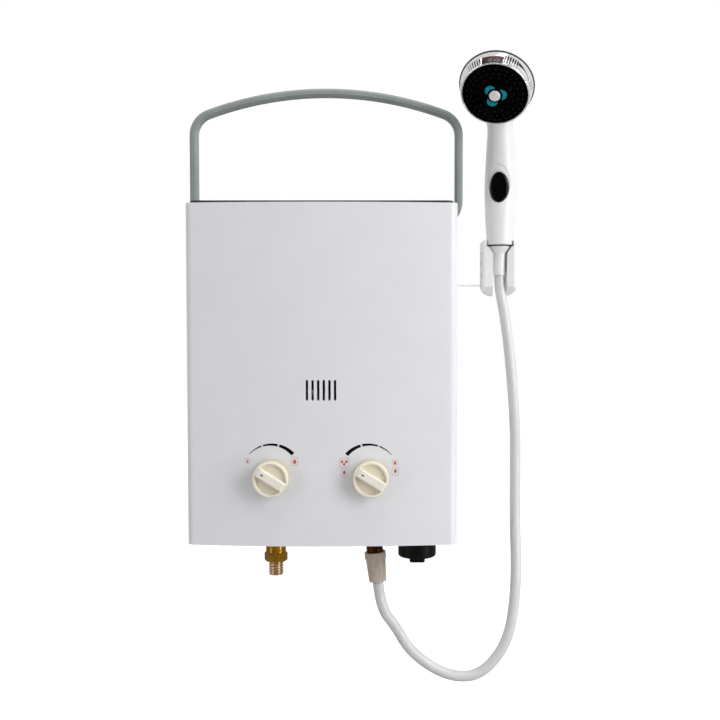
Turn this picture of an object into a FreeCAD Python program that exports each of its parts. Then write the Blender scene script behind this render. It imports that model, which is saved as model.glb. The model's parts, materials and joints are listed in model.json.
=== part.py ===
"""Portable propane water heater with a shower handset, as an assembly of separate pieces.

Millimetres.  +X is to the right of somebody facing the knobs, +Y points into the wall,
+Z is up.  The origin is midway between the two wall holes, on the back face of the case.
"""
import FreeCAD
import Part
import math
import os

# ---------------------------------------------------------------- driving dimensions
CASE_WIDTH = 292.0
CASE_HEIGHT = 368.0
CASE_DEPTH = 120.0
CASE_TOP = 40.0                       # the wall holes lie this far below the top
CASE_BOTTOM = CASE_TOP - CASE_HEIGHT
HALF_WIDTH = CASE_WIDTH / 2
SHEET = 1.0                           # sheet steel of the case
BOW_RADIUS = 1092.0                   # the front panel is gently curved from side to side
CORNER_RADIUS = 9.0                   # its upright edges are rounded

WALL_HOLE_SPACING = 150.0
WALL_HOLE_RADIUS = 3.0

HANDLE_PIVOT_Y = -24.8
HANDLE_PIVOT_Z = 34.0
HANDLE_APEX_Z = 177.9
HANDLE_THICK = 9.2
HANDLE_DEEP = 13.4
HANDLE_BEVEL = 2.8                    # all its long edges are bevelled
HANDLE_INNER = HALF_WIDTH + 0.8       # inner faces of the legs
HANDLE_ARCH_RADIUS = 396.0
HANDLE_CORNER_RADIUS = 30.5
HANDLE_TAPER_RADIUS = 30.0            # the outer faces of the leg ends curve in towards the case
HANDLE_TAPER_Z = 50.0
PIN_RADIUS = 3.0
PIN_START_X = HALF_WIDTH - 8          # inner end of the right pivot pin
BUSH_RADIUS = 4.2
RUNNING_GAP = 0.05                    # radial clearance of a shaft in its bush

KNOB_X = 53.3                         # gas knob at -KNOB_X, water knob at +KNOB_X
KNOB_Z = -254.0
KNOB_RADIUS = 19.3
KNOB_BACK_Y = -120.4
KNOB_SKIRT_HEIGHT = 12.5
KNOB_RIM = 2.5                        # width of the raised rim round the dish
KNOB_DISH = 3.0                       # depth of the dish behind the rim
KNOB_BAR_HEIGHT = 3.5                 # how far the grip bar stands out of the rim
KNOB_BAR_HALF = (4.5, 5.6)            # its half width at the front and at the root
KNOB_SOCKET_DEPTH = 11.0
KNOB_REST_ANGLE = 148.0               # pointer direction seen from the front, from +X
STEM_RADIUS = 3.0
STEM_END_Y = -94.3

SLOT_COUNT = 6
SLOT_PITCH = 6.0
SLOT_WIDTH = 2.6
SLOT_HEIGHT = 22.0
SLOT_Z = -160.0

FITTING_Y = -60.0
GAS_X = -56.0
OUTLET_X = 54.0
OUTLET_TILT = 5.5                     # the hose outlet leans this many degrees to the right
COLD_X = 104.0
COLD_Y = -30.0
DRAIN_X = 28.0
ROD_Y = -70.0                         # axis of the push rod and the diaphragm
GAS_THREAD_RADIUS = 8.33              # G 3/8
WATER_THREAD_RADIUS = 10.48           # G 1/2

BATTERY_X = 103.0
BATTERY_Y = -88.0
BATTERY_RADIUS = 16.6                 # D cell
BATTERY_LENGTH = 61.5

HOSE_RADIUS = 6.0
ARC_SHARE = 0.45                      # how much of the shorter run a hose bend takes
HANDSET_X = 198.4
HANDSET_Y = -30.0
HANDSET_YAW = -13.0                   # the handset faces a little towards the case
HEAD_TILT = 41.5                      # its face looks this far below the horizontal
HEAD_CENTRE_Y = -44.0                 # face centre, from the handle's axis
HEAD_CENTRE_Z = 162.4
FACE_RADIUS = 35.6
RING_FRONT_RADIUS = 37.4
HUB_Z = -3.2                          # front of the raised hub, before the face
RING_BACK_RADIUS = 41.2
BUTTON_Z = 65.0
GRIP_FRONT_Y = -10.1                  # front of the grip where the button is

# The hose's route, chosen by hand: out of the cone, down beside the case, round the
# bottom of the loop and up into the nut.
HOSE_ROUTE = [
    (198.4, -30.0, -34.5),
    (198.4, -30.0, -48.5),
    (203.3, -31.4, -73.9),
    (208.2, -33.0, -108.0),
    (212.5, -34.7, -150.4),
    (216.4, -37.0, -205.5),
    (216.4, -39.5, -262.0),
    (216.0, -42.0, -317.5),
    (217.7, -44.5, -367.5),
    (215.8, -46.5, -407.1),
    (210.3, -48.0, -443.0),
    (196.6, -50.0, -471.2),
    (172.9, -52.0, -492.7),
    (143.2, -54.0, -492.6),
    (115.6, -56.0, -478.4),
    (92.9, -58.0, -457.8),
    (79.7, -59.5, -433.6),
    (62.1, -60.0, -411.1),
    (59.22, -60.0, -381.25),
]

X_AXIS = FreeCAD.Vector(1, 0, 0)
Y_AXIS = FreeCAD.Vector(0, 1, 0)
Z_AXIS = FreeCAD.Vector(0, 0, 1)
ORIGIN = FreeCAD.Vector(0, 0, 0)


# ---------------------------------------------------------------- small helpers
def vec(x, y, z):
    return FreeCAD.Vector(x, y, z)


def box(low, high):
    """Axis-aligned block between two corners."""
    return Part.makeBox(high[0] - low[0], high[1] - low[1], high[2] - low[2], vec(*low))


def rod(start, axis, radius, length):
    return Part.makeCylinder(radius, length, vec(*start), axis)


def tube(start, axis, outer, inner, length):
    """Straight tube with a bore right through."""
    return rod(start, axis, outer, length).cut(rod(start, axis, inner, length))


def cone(start, axis, radius_start, radius_end, length):
    return Part.makeCone(radius_start, radius_end, length, vec(*start), axis)


def mirrored(point):
    """The point's image on the other side of the plane X = 0."""
    return vec(-point.x, point.y, point.z)


def both_sides(shape):
    """The shape and its mirror image in the plane X = 0, as separate solids."""
    return Part.makeCompound([shape, shape.mirror(ORIGIN, X_AXIS)])


def group(shapes):
    return Part.makeCompound(shapes)


def fuse(shapes):
    joined = shapes[0].multiFuse(shapes[1:])
    return joined.removeSplitter()


def rounded(shape, radius, chosen):
    """Fillet the edges for which chosen(edge) is true."""
    edges = [edge for edge in shape.Edges if chosen(edge)]
    return shape.makeFillet(radius, edges)


def is_parallel(edge, axis):
    if not isinstance(edge.Curve, (Part.Line, Part.LineSegment)):
        return False
    return edge.tangentAt(edge.FirstParameter).cross(axis).Length < 1e-6


def rounded_box(low, high, radius, axis):
    """Block whose edges along one axis are rounded."""
    return rounded(box(low, high), radius, lambda edge: is_parallel(edge, axis))


def hexagon_bar(centre, across_flats, z_low, z_high):
    """Upright hexagonal bar with two flats facing front and back."""
    corner = across_flats / math.sqrt(3)
    points = []
    for step in range(7):
        angle = math.radians(60 * step)
        points.append(vec(centre[0] + corner * math.cos(angle), centre[1] + corner * math.sin(angle), z_low))
    bar = Part.Face(Part.makePolygon(points)).extrude(Z_AXIS * (z_high - z_low))
    bevel = 1.0
    waist = rod((centre[0], centre[1], z_low + bevel), Z_AXIS, corner, z_high - z_low - 2 * bevel)
    lower = cone((centre[0], centre[1], z_low), Z_AXIS, corner - bevel * 1.5, corner, bevel)
    upper = cone((centre[0], centre[1], z_high - bevel), Z_AXIS, corner, corner - bevel * 1.5, bevel)
    return bar.common(fuse([lower, waist, upper]))


def bend_at(before, corner, after, bend):
    """Tangent arc that rounds one corner of a route: its start, middle, end and radius.

    The arc has the radius bend, or where bend is None it is as large as the runs allow.
    """
    incoming = (corner - before).normalize()
    outgoing = (after - corner).normalize()
    turn = incoming.getAngle(outgoing)
    shorter = min(corner.distanceToPoint(before), after.distanceToPoint(corner))
    radius = bend or ARC_SHARE * shorter / math.tan(turn / 2)
    reach = radius * math.tan(turn / 2)
    start = corner - incoming * reach
    end = corner + outgoing * reach
    inward = (outgoing - incoming).normalize()
    middle = corner + inward * (radius / math.cos(turn / 2) - radius)
    return start, middle, end, radius


def route_wire(points, bend=None):
    """Straight runs joined by tangent arcs, and the arcs' radii."""
    corners = [vec(*point) for point in points]
    edges = []
    radii = []
    here = corners[0]
    for before, corner, after in zip(corners, corners[1:], corners[2:]):
        start, middle, end, radius = bend_at(before, corner, after, bend)
        edges.append(Part.LineSegment(here, start).toShape())
        edges.append(Part.Arc(start, middle, end).toShape())
        radii.append(radius)
        here = end
    edges.append(Part.LineSegment(here, corners[-1]).toShape())
    return Part.Wire(edges), radii


def swept(points, radius, bend=None):
    """Round bar along a route, with the route's length and its arcs' radii."""
    wire, radii = route_wire(points, bend)
    start = vec(*points[0])
    direction = vec(*points[1]) - start
    section = Part.Wire(Part.makeCircle(radius, start, direction))
    return wire.makePipeShell([section], True, False), wire.Length, radii


def pipe(points, radius, wall, bend):
    """Bent tube with a bore."""
    outer = swept(points, radius, bend)[0]
    inner = swept(points, radius - wall, bend)[0]
    return outer.cut(inner)


# ---------------------------------------------------------------- the case
def case_outline(inset, back_y):
    """Plan of the case, drawn inside its outer face by inset and open to back_y."""
    half = HALF_WIDTH - inset
    bow = BOW_RADIUS - inset
    corner = CORNER_RADIUS - inset
    bow_centre = BOW_RADIUS - CASE_DEPTH
    corner_x = HALF_WIDTH - CORNER_RADIUS
    reach = BOW_RADIUS - CORNER_RADIUS
    corner_y = bow_centre - math.sqrt(reach ** 2 - corner_x ** 2)
    lean = math.atan2(corner_x, bow_centre - corner_y)
    touch = vec(bow * math.sin(lean), bow_centre - bow * math.cos(lean), 0)
    halfway = math.radians(45) - lean / 2
    knee = vec(corner_x + corner * math.cos(halfway), corner_y - corner * math.sin(halfway), 0)
    side = vec(half, corner_y, 0)
    front = vec(0, bow_centre - bow, 0)
    edges = [
        Part.LineSegment(vec(half, back_y, 0), side),
        Part.Arc(side, knee, touch),
        Part.Arc(touch, front, mirrored(touch)),
        Part.Arc(mirrored(touch), mirrored(knee), mirrored(side)),
        Part.LineSegment(mirrored(side), vec(-half, back_y, 0)),
        Part.LineSegment(vec(-half, back_y, 0), vec(half, back_y, 0)),
    ]
    return Part.Wire([edge.toShape() for edge in edges])


def case_block(inset, back_y, z_low, z_high):
    face = Part.Face(case_outline(inset, back_y))
    face.translate(vec(0, 0, z_low))
    return face.extrude(Z_AXIS * (z_high - z_low))


TOP_OPENING = ((-128.0, -98.0), (128.0, -14.0))
BOTTOM_OPENING = ((-130.0, -108.0), (130.0, -12.0))
SCREW_Y = -7.0
SCREW_HEIGHTS = (-10.0, -300.0)
STRAP_Y = (-34.0, -16.0)              # strap that carries the handset's holder
STRAP_MIDDLE_Y = sum(STRAP_Y) / 2
STRAP_Z = -46.5
STRAP_THICK = 1.3
RIVET_HEIGHTS = (-20.0, -34.0)
BEAD_X = (-104.0, 104.0)              # two upright beads stiffen the back panel
BEAD_Z = (-255.0, -35.0)
BEAD_RADIUS = 7.0
BEAD_DEPTH = 1.0
AIR_SLOT_COUNT = 9                    # combustion air comes in low in the back
AIR_SLOT_PITCH = 12.0
AIR_SLOT_Z = (-292.0, -268.0)


def viewing_slot(x):
    """Cutter for one upright slot with round ends."""
    radius = SLOT_WIDTH / 2
    straight = SLOT_HEIGHT / 2 - radius
    start_y = -CASE_DEPTH - 5
    bar = box((x - radius, start_y, SLOT_Z - straight), (x + radius, start_y + 20, SLOT_Z + straight))
    lower = rod((x, start_y, SLOT_Z - straight), Y_AXIS, radius, 20)
    upper = rod((x, start_y, SLOT_Z + straight), Y_AXIS, radius, 20)
    return fuse([bar, lower, upper])


def front_cover():
    """Folded steel cover: curved front, sides, and narrow flanges at top and bottom."""
    outer = case_block(0, -SHEET, CASE_BOTTOM, CASE_TOP)
    inner = case_block(SHEET, 5, CASE_BOTTOM + SHEET, CASE_TOP - SHEET)
    cover = outer.cut(inner)
    cutters = []
    for opening, z_low in ((TOP_OPENING, CASE_TOP - 5), (BOTTOM_OPENING, CASE_BOTTOM - 5)):
        (x_low, y_low), (x_high, y_high) = opening
        cutters.append(rounded_box((x_low, y_low, z_low), (x_high, y_high, z_low + 10), 6, Z_AXIS))
    for index in range(SLOT_COUNT):
        cutters.append(viewing_slot((index - (SLOT_COUNT - 1) / 2) * SLOT_PITCH))
    for x in (-KNOB_X, KNOB_X):
        cutters.append(rod((x, -CASE_DEPTH - 5, KNOB_Z), Y_AXIS, STEM_RADIUS + 1.5, 20))
    for side in (-1, 1):
        axis = X_AXIS * side
        cutters.append(rod((side * 140, HANDLE_PIVOT_Y, HANDLE_PIVOT_Z), axis, BUSH_RADIUS, 10))
        for z in SCREW_HEIGHTS:
            cutters.append(rod((side * 140, SCREW_Y, z), axis, 1.8, 10))
    strap_high = (150, STRAP_Y[1] + 0.3, STRAP_Z + STRAP_THICK + 0.3)
    cutters.append(box((140, STRAP_Y[0] - 0.3, STRAP_Z - 0.3), strap_high))
    for z in RIVET_HEIGHTS:
        cutters.append(rod((140, STRAP_MIDDLE_Y, z), X_AXIS, 1.6, 10))
        cutters.append(cone((HALF_WIDTH - 0.6, STRAP_MIDDLE_Y, z), X_AXIS, 1.6, 3.2, 0.6))
    return cover.cut(group(cutters))


def bead(x, z_low, z_high, radius, depth):
    """Upright capsule standing in from the back face, for a bead pressed in the sheet."""
    start = -depth
    bar = box((x - radius, start, z_low), (x + radius, start + depth, z_high))
    ends = [rod((x, start, z), Y_AXIS, radius, depth) for z in (z_low, z_high)]
    return fuse([bar] + ends)


def back_panel():
    """Rear sheet with pressed beads and air slots, and flanges that the cover is screwed to."""
    plate = box((-HALF_WIDTH, -SHEET, CASE_BOTTOM), (HALF_WIDTH, 0, CASE_TOP))
    plate = rounded(plate, 4, lambda edge: is_parallel(edge, Y_AXIS))
    flange_x = HALF_WIDTH - SHEET - 0.1
    flange = box((flange_x - SHEET, -13, CASE_BOTTOM + 6), (flange_x, -SHEET, CASE_TOP - 6))
    ridges = [bead(x, BEAD_Z[0], BEAD_Z[1], BEAD_RADIUS + SHEET, SHEET + BEAD_DEPTH) for x in BEAD_X]
    panel = fuse([plate, flange, flange.mirror(ORIGIN, X_AXIS)] + ridges)
    cutters = [bead(x, BEAD_Z[0], BEAD_Z[1], BEAD_RADIUS, BEAD_DEPTH) for x in BEAD_X]
    for index in range(AIR_SLOT_COUNT):
        x = (index - (AIR_SLOT_COUNT - 1) / 2) * AIR_SLOT_PITCH
        cutters.append(bead(x, AIR_SLOT_Z[0], AIR_SLOT_Z[1], 2.0, 2 * SHEET))
    for x in (-WALL_HOLE_SPACING / 2, WALL_HOLE_SPACING / 2):
        cutters.append(rod((x, -SHEET - 1, 0), Y_AXIS, WALL_HOLE_RADIUS, SHEET + 2))
    for side in (-1, 1):
        for z in SCREW_HEIGHTS:
            cutters.append(rod((side * 140, SCREW_Y, z), X_AXIS * side, 1.8, 10))
    return panel.cut(group(cutters))


def bottom_plate():
    """Inner floor that carries the fittings and the battery tube."""
    floor = CASE_BOTTOM + SHEET
    plate = rounded_box((-133, -110, floor), (133, -8, floor + 1.2), 6, Z_AXIS)
    holes = [
        rod((GAS_X, FITTING_Y, floor - 1), Z_AXIS, 9.2, 4),
        rod((OUTLET_X, FITTING_Y, floor - 1), Z_AXIS, 10.2, 4),
        rod((COLD_X, COLD_Y, floor - 1), Z_AXIS, 10.2, 4),
        rod((BATTERY_X, BATTERY_Y, floor - 1), Z_AXIS, 19.3, 4),
        rod((DRAIN_X, ROD_Y, floor - 1), Z_AXIS, 6.2, 4),
    ]
    return plate.cut(group(holes))


def flue_cap():
    """Pressed exhaust grille over the opening in the top of the case."""
    top = CASE_TOP + 3
    cap = rounded_box((-142, -106, CASE_TOP), (142, -6, top), 8, Z_AXIS)
    cap = rounded(cap, 0.8, lambda edge: edge.BoundBox.ZMin > top - 0.1)
    slots = []
    for row in range(7):
        y = -94 + row * 12.5
        slots.append(rounded_box((-112, y, CASE_TOP - 1), (112, y + 3.5, top + 1), 1.6, Z_AXIS))
    return cap.cut(group(slots))


def cover_screws():
    """Four pan-head screws that hold the cover to the back panel's flanges."""
    screws = []
    for side in (-1, 1):
        axis = X_AXIS * side
        for z in SCREW_HEIGHTS:
            shank = rod((side * 138, SCREW_Y, z), axis, 1.75, HALF_WIDTH - 138)
            head = rod((side * HALF_WIDTH, SCREW_Y, z), axis, 3.6, 2.0)
            head = rounded(head, 0.9, lambda edge: abs(edge.BoundBox.XMin) > HALF_WIDTH + 1.5)
            recess_x = side * (HALF_WIDTH + 2)
            upright = box((recess_x - 1, SCREW_Y - 0.4, z - 2.4), (recess_x + 1, SCREW_Y + 0.4, z + 2.4))
            level = box((recess_x - 1, SCREW_Y - 2.4, z - 0.4), (recess_x + 1, SCREW_Y + 2.4, z + 0.4))
            screws.append(fuse([shank, head]).cut(upright).cut(level))
    return group(screws)


# ---------------------------------------------------------------- carrying handle
def handle_outline(inset):
    """Closed outline in XZ of the arch and legs, inset from the handle's outer face."""
    arch_centre = HANDLE_APEX_Z - HANDLE_ARCH_RADIUS
    outer_half = HANDLE_INNER + HANDLE_THICK
    corner_x = outer_half - HANDLE_CORNER_RADIUS
    reach = HANDLE_ARCH_RADIUS - HANDLE_CORNER_RADIUS
    corner_z = arch_centre + math.sqrt(reach ** 2 - corner_x ** 2)
    lean = math.atan2(corner_x, corner_z - arch_centre)
    arch = HANDLE_ARCH_RADIUS - inset
    corner = HANDLE_CORNER_RADIUS - inset
    half = outer_half - inset
    touch = vec(arch * math.sin(lean), 0, arch_centre + arch * math.cos(lean))
    halfway = math.radians(45) - lean / 2
    knee = vec(corner_x + corner * math.cos(halfway), 0, corner_z + corner * math.sin(halfway))
    shoulder = vec(half, 0, corner_z)
    foot = vec(half, 0, HANDLE_PIVOT_Z - HANDLE_DEEP)
    edges = [
        Part.LineSegment(foot, shoulder),
        Part.Arc(shoulder, knee, touch),
        Part.Arc(touch, vec(0, 0, arch_centre + arch), mirrored(touch)),
        Part.Arc(mirrored(touch), mirrored(knee), mirrored(shoulder)),
        Part.LineSegment(mirrored(shoulder), mirrored(foot)),
        Part.LineSegment(mirrored(foot), foot),
    ]
    return Part.Face(Part.Wire([edge.toShape() for edge in edges]))


def leg_taper():
    """What the curved outer face leaves off the right leg's end."""
    outer_x = HANDLE_INNER + HANDLE_THICK
    low_z = HANDLE_PIVOT_Z - HANDLE_DEEP
    near = (HANDLE_INNER - 1, HANDLE_PIVOT_Y - HANDLE_DEEP, low_z)
    waste = box(near, (outer_x + 5, HANDLE_PIVOT_Y + HANDLE_DEEP, HANDLE_TAPER_Z))
    start = (outer_x - HANDLE_TAPER_RADIUS, HANDLE_PIVOT_Y - 2 * HANDLE_DEEP, HANDLE_TAPER_Z)
    return waste.cut(rod(start, Y_AXIS, HANDLE_TAPER_RADIUS, 4 * HANDLE_DEEP))


def handle():
    """Arched carrying handle with bevelled edges, round leg ends and moulded pivot pins."""
    near = HANDLE_PIVOT_Y - HANDLE_DEEP / 2
    far = HANDLE_PIVOT_Y + HANDLE_DEEP / 2
    band = handle_outline(0).cut(handle_outline(HANDLE_THICK))
    band.translate(vec(0, near, 0))
    solid = band.extrude(Y_AXIS * HANDLE_DEEP)
    radius = HANDLE_DEEP / 2
    below = box((-200, near - 5, HANDLE_PIVOT_Z - 2 * HANDLE_DEEP), (200, far + 5, HANDLE_PIVOT_Z))
    eye = rod((-200, HANDLE_PIVOT_Y, HANDLE_PIVOT_Z), X_AXIS, radius, 400)
    solid = solid.cut(below.cut(eye))

    def long_edge(edge):
        middle = edge.BoundBox.Center
        on_face = abs(middle.y - near) < 0.1 or abs(middle.y - far) < 0.1
        return on_face and edge.BoundBox.YLength < 0.1 and edge.BoundBox.ZMin >= HANDLE_PIVOT_Z - 0.01
    solid = solid.makeChamfer(HANDLE_BEVEL, [edge for edge in solid.Edges if long_edge(edge)])
    solid = solid.cut(leg_taper()).cut(leg_taper().mirror(ORIGIN, X_AXIS))
    start = (PIN_START_X, HANDLE_PIVOT_Y, HANDLE_PIVOT_Z)
    pin = rod(start, X_AXIS, PIN_RADIUS, HANDLE_INNER + 1 - PIN_START_X)
    return fuse([solid, pin, pin.mirror(ORIGIN, X_AXIS)])


def handle_bushes():
    """Flanged plastic bushes in the case sides."""
    bore = PIN_RADIUS + RUNNING_GAP
    start_x = PIN_START_X + 2
    sleeve = tube((start_x, HANDLE_PIVOT_Y, HANDLE_PIVOT_Z), X_AXIS, BUSH_RADIUS, bore, HALF_WIDTH - start_x)
    flange = tube((HALF_WIDTH, HANDLE_PIVOT_Y, HANDLE_PIVOT_Z), X_AXIS, BUSH_RADIUS + 1.2, bore, 0.4)
    return both_sides(fuse([sleeve, flange]))


def handle_clips():
    """Spring clips that keep the pivot pins in their bushes."""
    clip = tube((PIN_START_X + 0.3, HANDLE_PIVOT_Y, HANDLE_PIVOT_Z), X_AXIS, 4.7, PIN_RADIUS, 1.2)
    return both_sides(clip)


# ---------------------------------------------------------------- knobs
def knob(x):
    """Control knob: a dished cup with a rim, and a grip bar that tapers to the front."""
    front = KNOB_BACK_Y - KNOB_SKIRT_HEIGHT
    cup = cone((x, KNOB_BACK_Y, KNOB_Z), -Y_AXIS, KNOB_RADIUS, KNOB_RADIUS - 0.4, KNOB_SKIRT_HEIGHT)
    cup = rounded(cup, 1.0, lambda edge: edge.BoundBox.YMax < front + 0.1)
    dish_radius = KNOB_RADIUS - KNOB_RIM
    dish = cone((x, front + KNOB_DISH, KNOB_Z), -Y_AXIS, dish_radius - 1.2, dish_radius, KNOB_DISH + 0.01)
    cup = cup.cut(dish)
    tip = front - KNOB_BAR_HEIGHT
    root = front + KNOB_DISH + 1
    narrow, wide = KNOB_BAR_HALF
    reach = KNOB_RADIUS - 2.2
    section = Part.makePolygon([
        vec(x - reach, tip, KNOB_Z - narrow), vec(x - reach, tip, KNOB_Z + narrow),
        vec(x - reach, root, KNOB_Z + wide), vec(x - reach, root, KNOB_Z - wide),
        vec(x - reach, tip, KNOB_Z - narrow)])
    bar = Part.Face(section).extrude(X_AXIS * (2 * reach))
    side = Part.makePolygon([
        vec(x - reach, front + 0.4, KNOB_Z - 9), vec(x - reach + 4, tip, KNOB_Z - 9),
        vec(x + reach - 1.6, tip, KNOB_Z - 9), vec(x + reach, front + 0.4, KNOB_Z - 9),
        vec(x + reach, root, KNOB_Z - 9), vec(x - reach, root, KNOB_Z - 9),
        vec(x - reach, front + 0.4, KNOB_Z - 9)])
    bar = bar.common(Part.Face(side).extrude(Z_AXIS * 18))
    bar = rounded(bar, 1.0, lambda edge: edge.BoundBox.YMax < tip + 0.1)
    socket = rod((x, KNOB_BACK_Y + 1, KNOB_Z), -Y_AXIS, STEM_RADIUS, KNOB_SOCKET_DEPTH + 1)
    whole = fuse([cup, bar]).cut(socket)
    whole.rotate(vec(x, 0, KNOB_Z), Y_AXIS, 180 - KNOB_REST_ANGLE)
    return whole


def stem(x):
    """Valve spindle from the knob's socket into the valve."""
    tip = KNOB_BACK_Y - KNOB_SOCKET_DEPTH + 0.1
    return rod((x, tip, KNOB_Z), Y_AXIS, STEM_RADIUS - 0.02, STEM_END_Y - tip)


# ---------------------------------------------------------------- gas train
VALVE_Y = (-98.0, -44.0)
VALVE_Z = (KNOB_Z - 20, KNOB_Z + 18)
GAS_HEX_Z = (-357.0, -347.0)          # spanner hexagon of the gas inlet
NIPPLE_END_Z = -372.7
SPIGOT_RADIUS = 7.4                   # the nipple's spigot, pressed into the adapter
SPIGOT_LENGTH = 7.0
MANIFOLD_Y = (-100.0, -86.0)
MANIFOLD_Z = (-206.0, -194.0)
BURNER_Z = (-206.0, -172.0)
BURNER_Y = (-82.0, -26.0)
BURNER_HALF = 88.0
BLADE_COUNT = 8
BLADE_PITCH = 21.0


def blade_x(index):
    return (index - (BLADE_COUNT - 1) / 2) * BLADE_PITCH


def gas_inlet_adapter():
    """Brass adapter through the floor, with a spanner hexagon."""
    floor = CASE_BOTTOM + SHEET
    upper = rod((GAS_X, FITTING_Y, floor), Z_AXIS, 9.0, VALVE_Z[0] - floor)
    barrel = rod((GAS_X, FITTING_Y, GAS_HEX_Z[1]), Z_AXIS, 11.2, floor - GAS_HEX_Z[1])
    nut = hexagon_bar((GAS_X, FITTING_Y), 22.6, *GAS_HEX_Z)
    bore = rod((GAS_X, FITTING_Y, GAS_HEX_Z[0] - 1), Z_AXIS, 5.0, 100)
    seat = rod((GAS_X, FITTING_Y, GAS_HEX_Z[0] - 1), Z_AXIS, SPIGOT_RADIUS, SPIGOT_LENGTH + 1)
    return fuse([upper, barrel, nut]).cut(fuse([bore, seat]))


def gas_inlet_nipple():
    """Male nipple that the gas hose screws onto, drawn at the thread's outer diameter."""
    thread = rod((GAS_X, FITTING_Y, NIPPLE_END_Z), Z_AXIS, GAS_THREAD_RADIUS, GAS_HEX_Z[0] - NIPPLE_END_Z)
    spigot = rod((GAS_X, FITTING_Y, GAS_HEX_Z[0]), Z_AXIS, SPIGOT_RADIUS, SPIGOT_LENGTH)
    bore = rod((GAS_X, FITTING_Y, NIPPLE_END_Z - 1), Z_AXIS, 4.5, 40)
    return fuse([thread, spigot]).cut(bore)


def gas_valve_body():
    """Die-cast gas valve with a bore for its spindle and one for the push rod."""
    body = rounded_box((-74, VALVE_Y[0], VALVE_Z[0]), (-33, VALVE_Y[1], VALVE_Z[1]), 4, Y_AXIS)
    outlet = rod((-KNOB_X, -92.5, VALVE_Z[1] - 1), Z_AXIS, 5.5, MANIFOLD_Z[0] - VALVE_Z[1] + 1)
    neck = rod((-KNOB_X, VALVE_Y[0] + 1, KNOB_Z), -Y_AXIS, 8.0, 9)
    cutters = [
        rod((-KNOB_X, -110, KNOB_Z), Y_AXIS, STEM_RADIUS + RUNNING_GAP, 18),
        rod((GAS_X, FITTING_Y, VALVE_Z[0] - 1), Z_AXIS, 5.0, 12),
        rod((-50, ROD_Y, KNOB_Z), X_AXIS, 2.05, 30),
    ]
    return fuse([body, outlet, neck]).cut(group(cutters))


def gas_solenoid():
    """Electromagnetic shut-off on the left end of the gas valve."""
    coil = rod((-96, ROD_Y, KNOB_Z), X_AXIS, 12.0, 22)
    cap = rod((-99, ROD_Y, KNOB_Z), X_AXIS, 6.0, 3)
    return fuse([coil, cap])


def gas_manifold():
    """Bar that shares the gas out among the burner blades."""
    bar = box((-BURNER_HALF, MANIFOLD_Y[0], MANIFOLD_Z[0]), (BURNER_HALF, MANIFOLD_Y[1], MANIFOLD_Z[1]))
    middle = (MANIFOLD_Z[0] + MANIFOLD_Z[1]) / 2
    cutters = [box((-86, MANIFOLD_Y[0] + 2, MANIFOLD_Z[0] + 2), (86, MANIFOLD_Y[1] - 2, MANIFOLD_Z[1] - 2))]
    cutters.append(rod((-KNOB_X, -92.5, MANIFOLD_Z[0] - 1), Z_AXIS, 3.5, 4))
    for index in range(BLADE_COUNT):
        cutters.append(rod((blade_x(index), MANIFOLD_Y[1] - 3, middle), Y_AXIS, 2.0, 4))
    return bar.cut(group(cutters))


def gas_injectors():
    """One brass jet per burner blade."""
    middle = (MANIFOLD_Z[0] + MANIFOLD_Z[1]) / 2
    jets = []
    for index in range(BLADE_COUNT):
        shank = rod((blade_x(index), MANIFOLD_Y[1] - 2, middle), Y_AXIS, 2.0, 2)
        head = rod((blade_x(index), MANIFOLD_Y[1], middle), Y_AXIS, 3.4, 2.6)
        orifice = rod((blade_x(index), MANIFOLD_Y[1] - 3, middle), Y_AXIS, 0.5, 8)
        jets.append(fuse([shank, head]).cut(orifice))
    return group(jets)


def burner_blades():
    """Slotted steel burner blades standing side by side."""
    blades = []
    for index in range(BLADE_COUNT):
        x = blade_x(index)
        body = box((x - 6, BURNER_Y[0] + 1.5, BURNER_Z[0] + 2), (x + 6, BURNER_Y[1] - 1.5, BURNER_Z[1]))
        throat = rod((x, BURNER_Y[0], -200), Y_AXIS, 3.6, 40)
        cutters = [throat]
        for row in range(8):
            y = BURNER_Y[0] + 6 + row * 6
            cutters.append(box((x - 4, y, BURNER_Z[1] - 5), (x + 4, y + 1.2, BURNER_Z[1] + 1)))
        blades.append(body.cut(group(cutters)))
    return group(blades)


def burner_frame():
    """Galvanised tray that holds the blades, with air inlets in its front."""
    outer = box((-BURNER_HALF - 2, BURNER_Y[0], BURNER_Z[0]), (BURNER_HALF + 2, BURNER_Y[1], BURNER_Z[1] + 4))
    inner = box((-BURNER_HALF - 1, BURNER_Y[0] + 1, BURNER_Z[0] + 1), (BURNER_HALF + 1, BURNER_Y[1] - 1, 0))
    tray = outer.cut(inner)
    inlets = []
    for index in range(BLADE_COUNT):
        inlets.append(rod((blade_x(index), BURNER_Y[0] - 1, -200), Y_AXIS, 4.5, 4))
    return tray.cut(group(inlets))


def spark_electrodes():
    """Two ceramic-sleeved ignition rods in front of the flames."""
    rods = []
    for x in (-24, -12):
        ceramic = rod((x, -108, SLOT_Z - 3), Y_AXIS, 3.4, 22)
        pin = rod((x, -86, SLOT_Z - 3), Y_AXIS, 1.0, 14)
        rods.append(fuse([ceramic, pin]))
    return group(rods)


def flame_sensor():
    """Ceramic-sleeved ionisation rod."""
    ceramic = rod((22, -108, SLOT_Z - 3), Y_AXIS, 3.4, 22)
    return fuse([ceramic, rod((22, -86, SLOT_Z - 3), Y_AXIS, 1.0, 20)])


# ---------------------------------------------------------------- heat exchanger
SHELL_HALF = 96.0
SHELL_Y = (-95.0, -19.0)
SHELL_Z = (-150.0, -62.0)
FIN_Z = (-62.0, -30.0)
FIN_COUNT = 30
PASS_Y = (-80.0, -57.0, -34.0)
PASS_Z = -46.0
LOOP_Z = -112.0
WATER_TUBE = 6.5
WATER_WALL = 0.8
WATER_BEND = 10.0
RISER_X = 118.0                       # cold riser on the right, hot pipe on the left
VALVE_TUBE_X = 60.0


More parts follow.
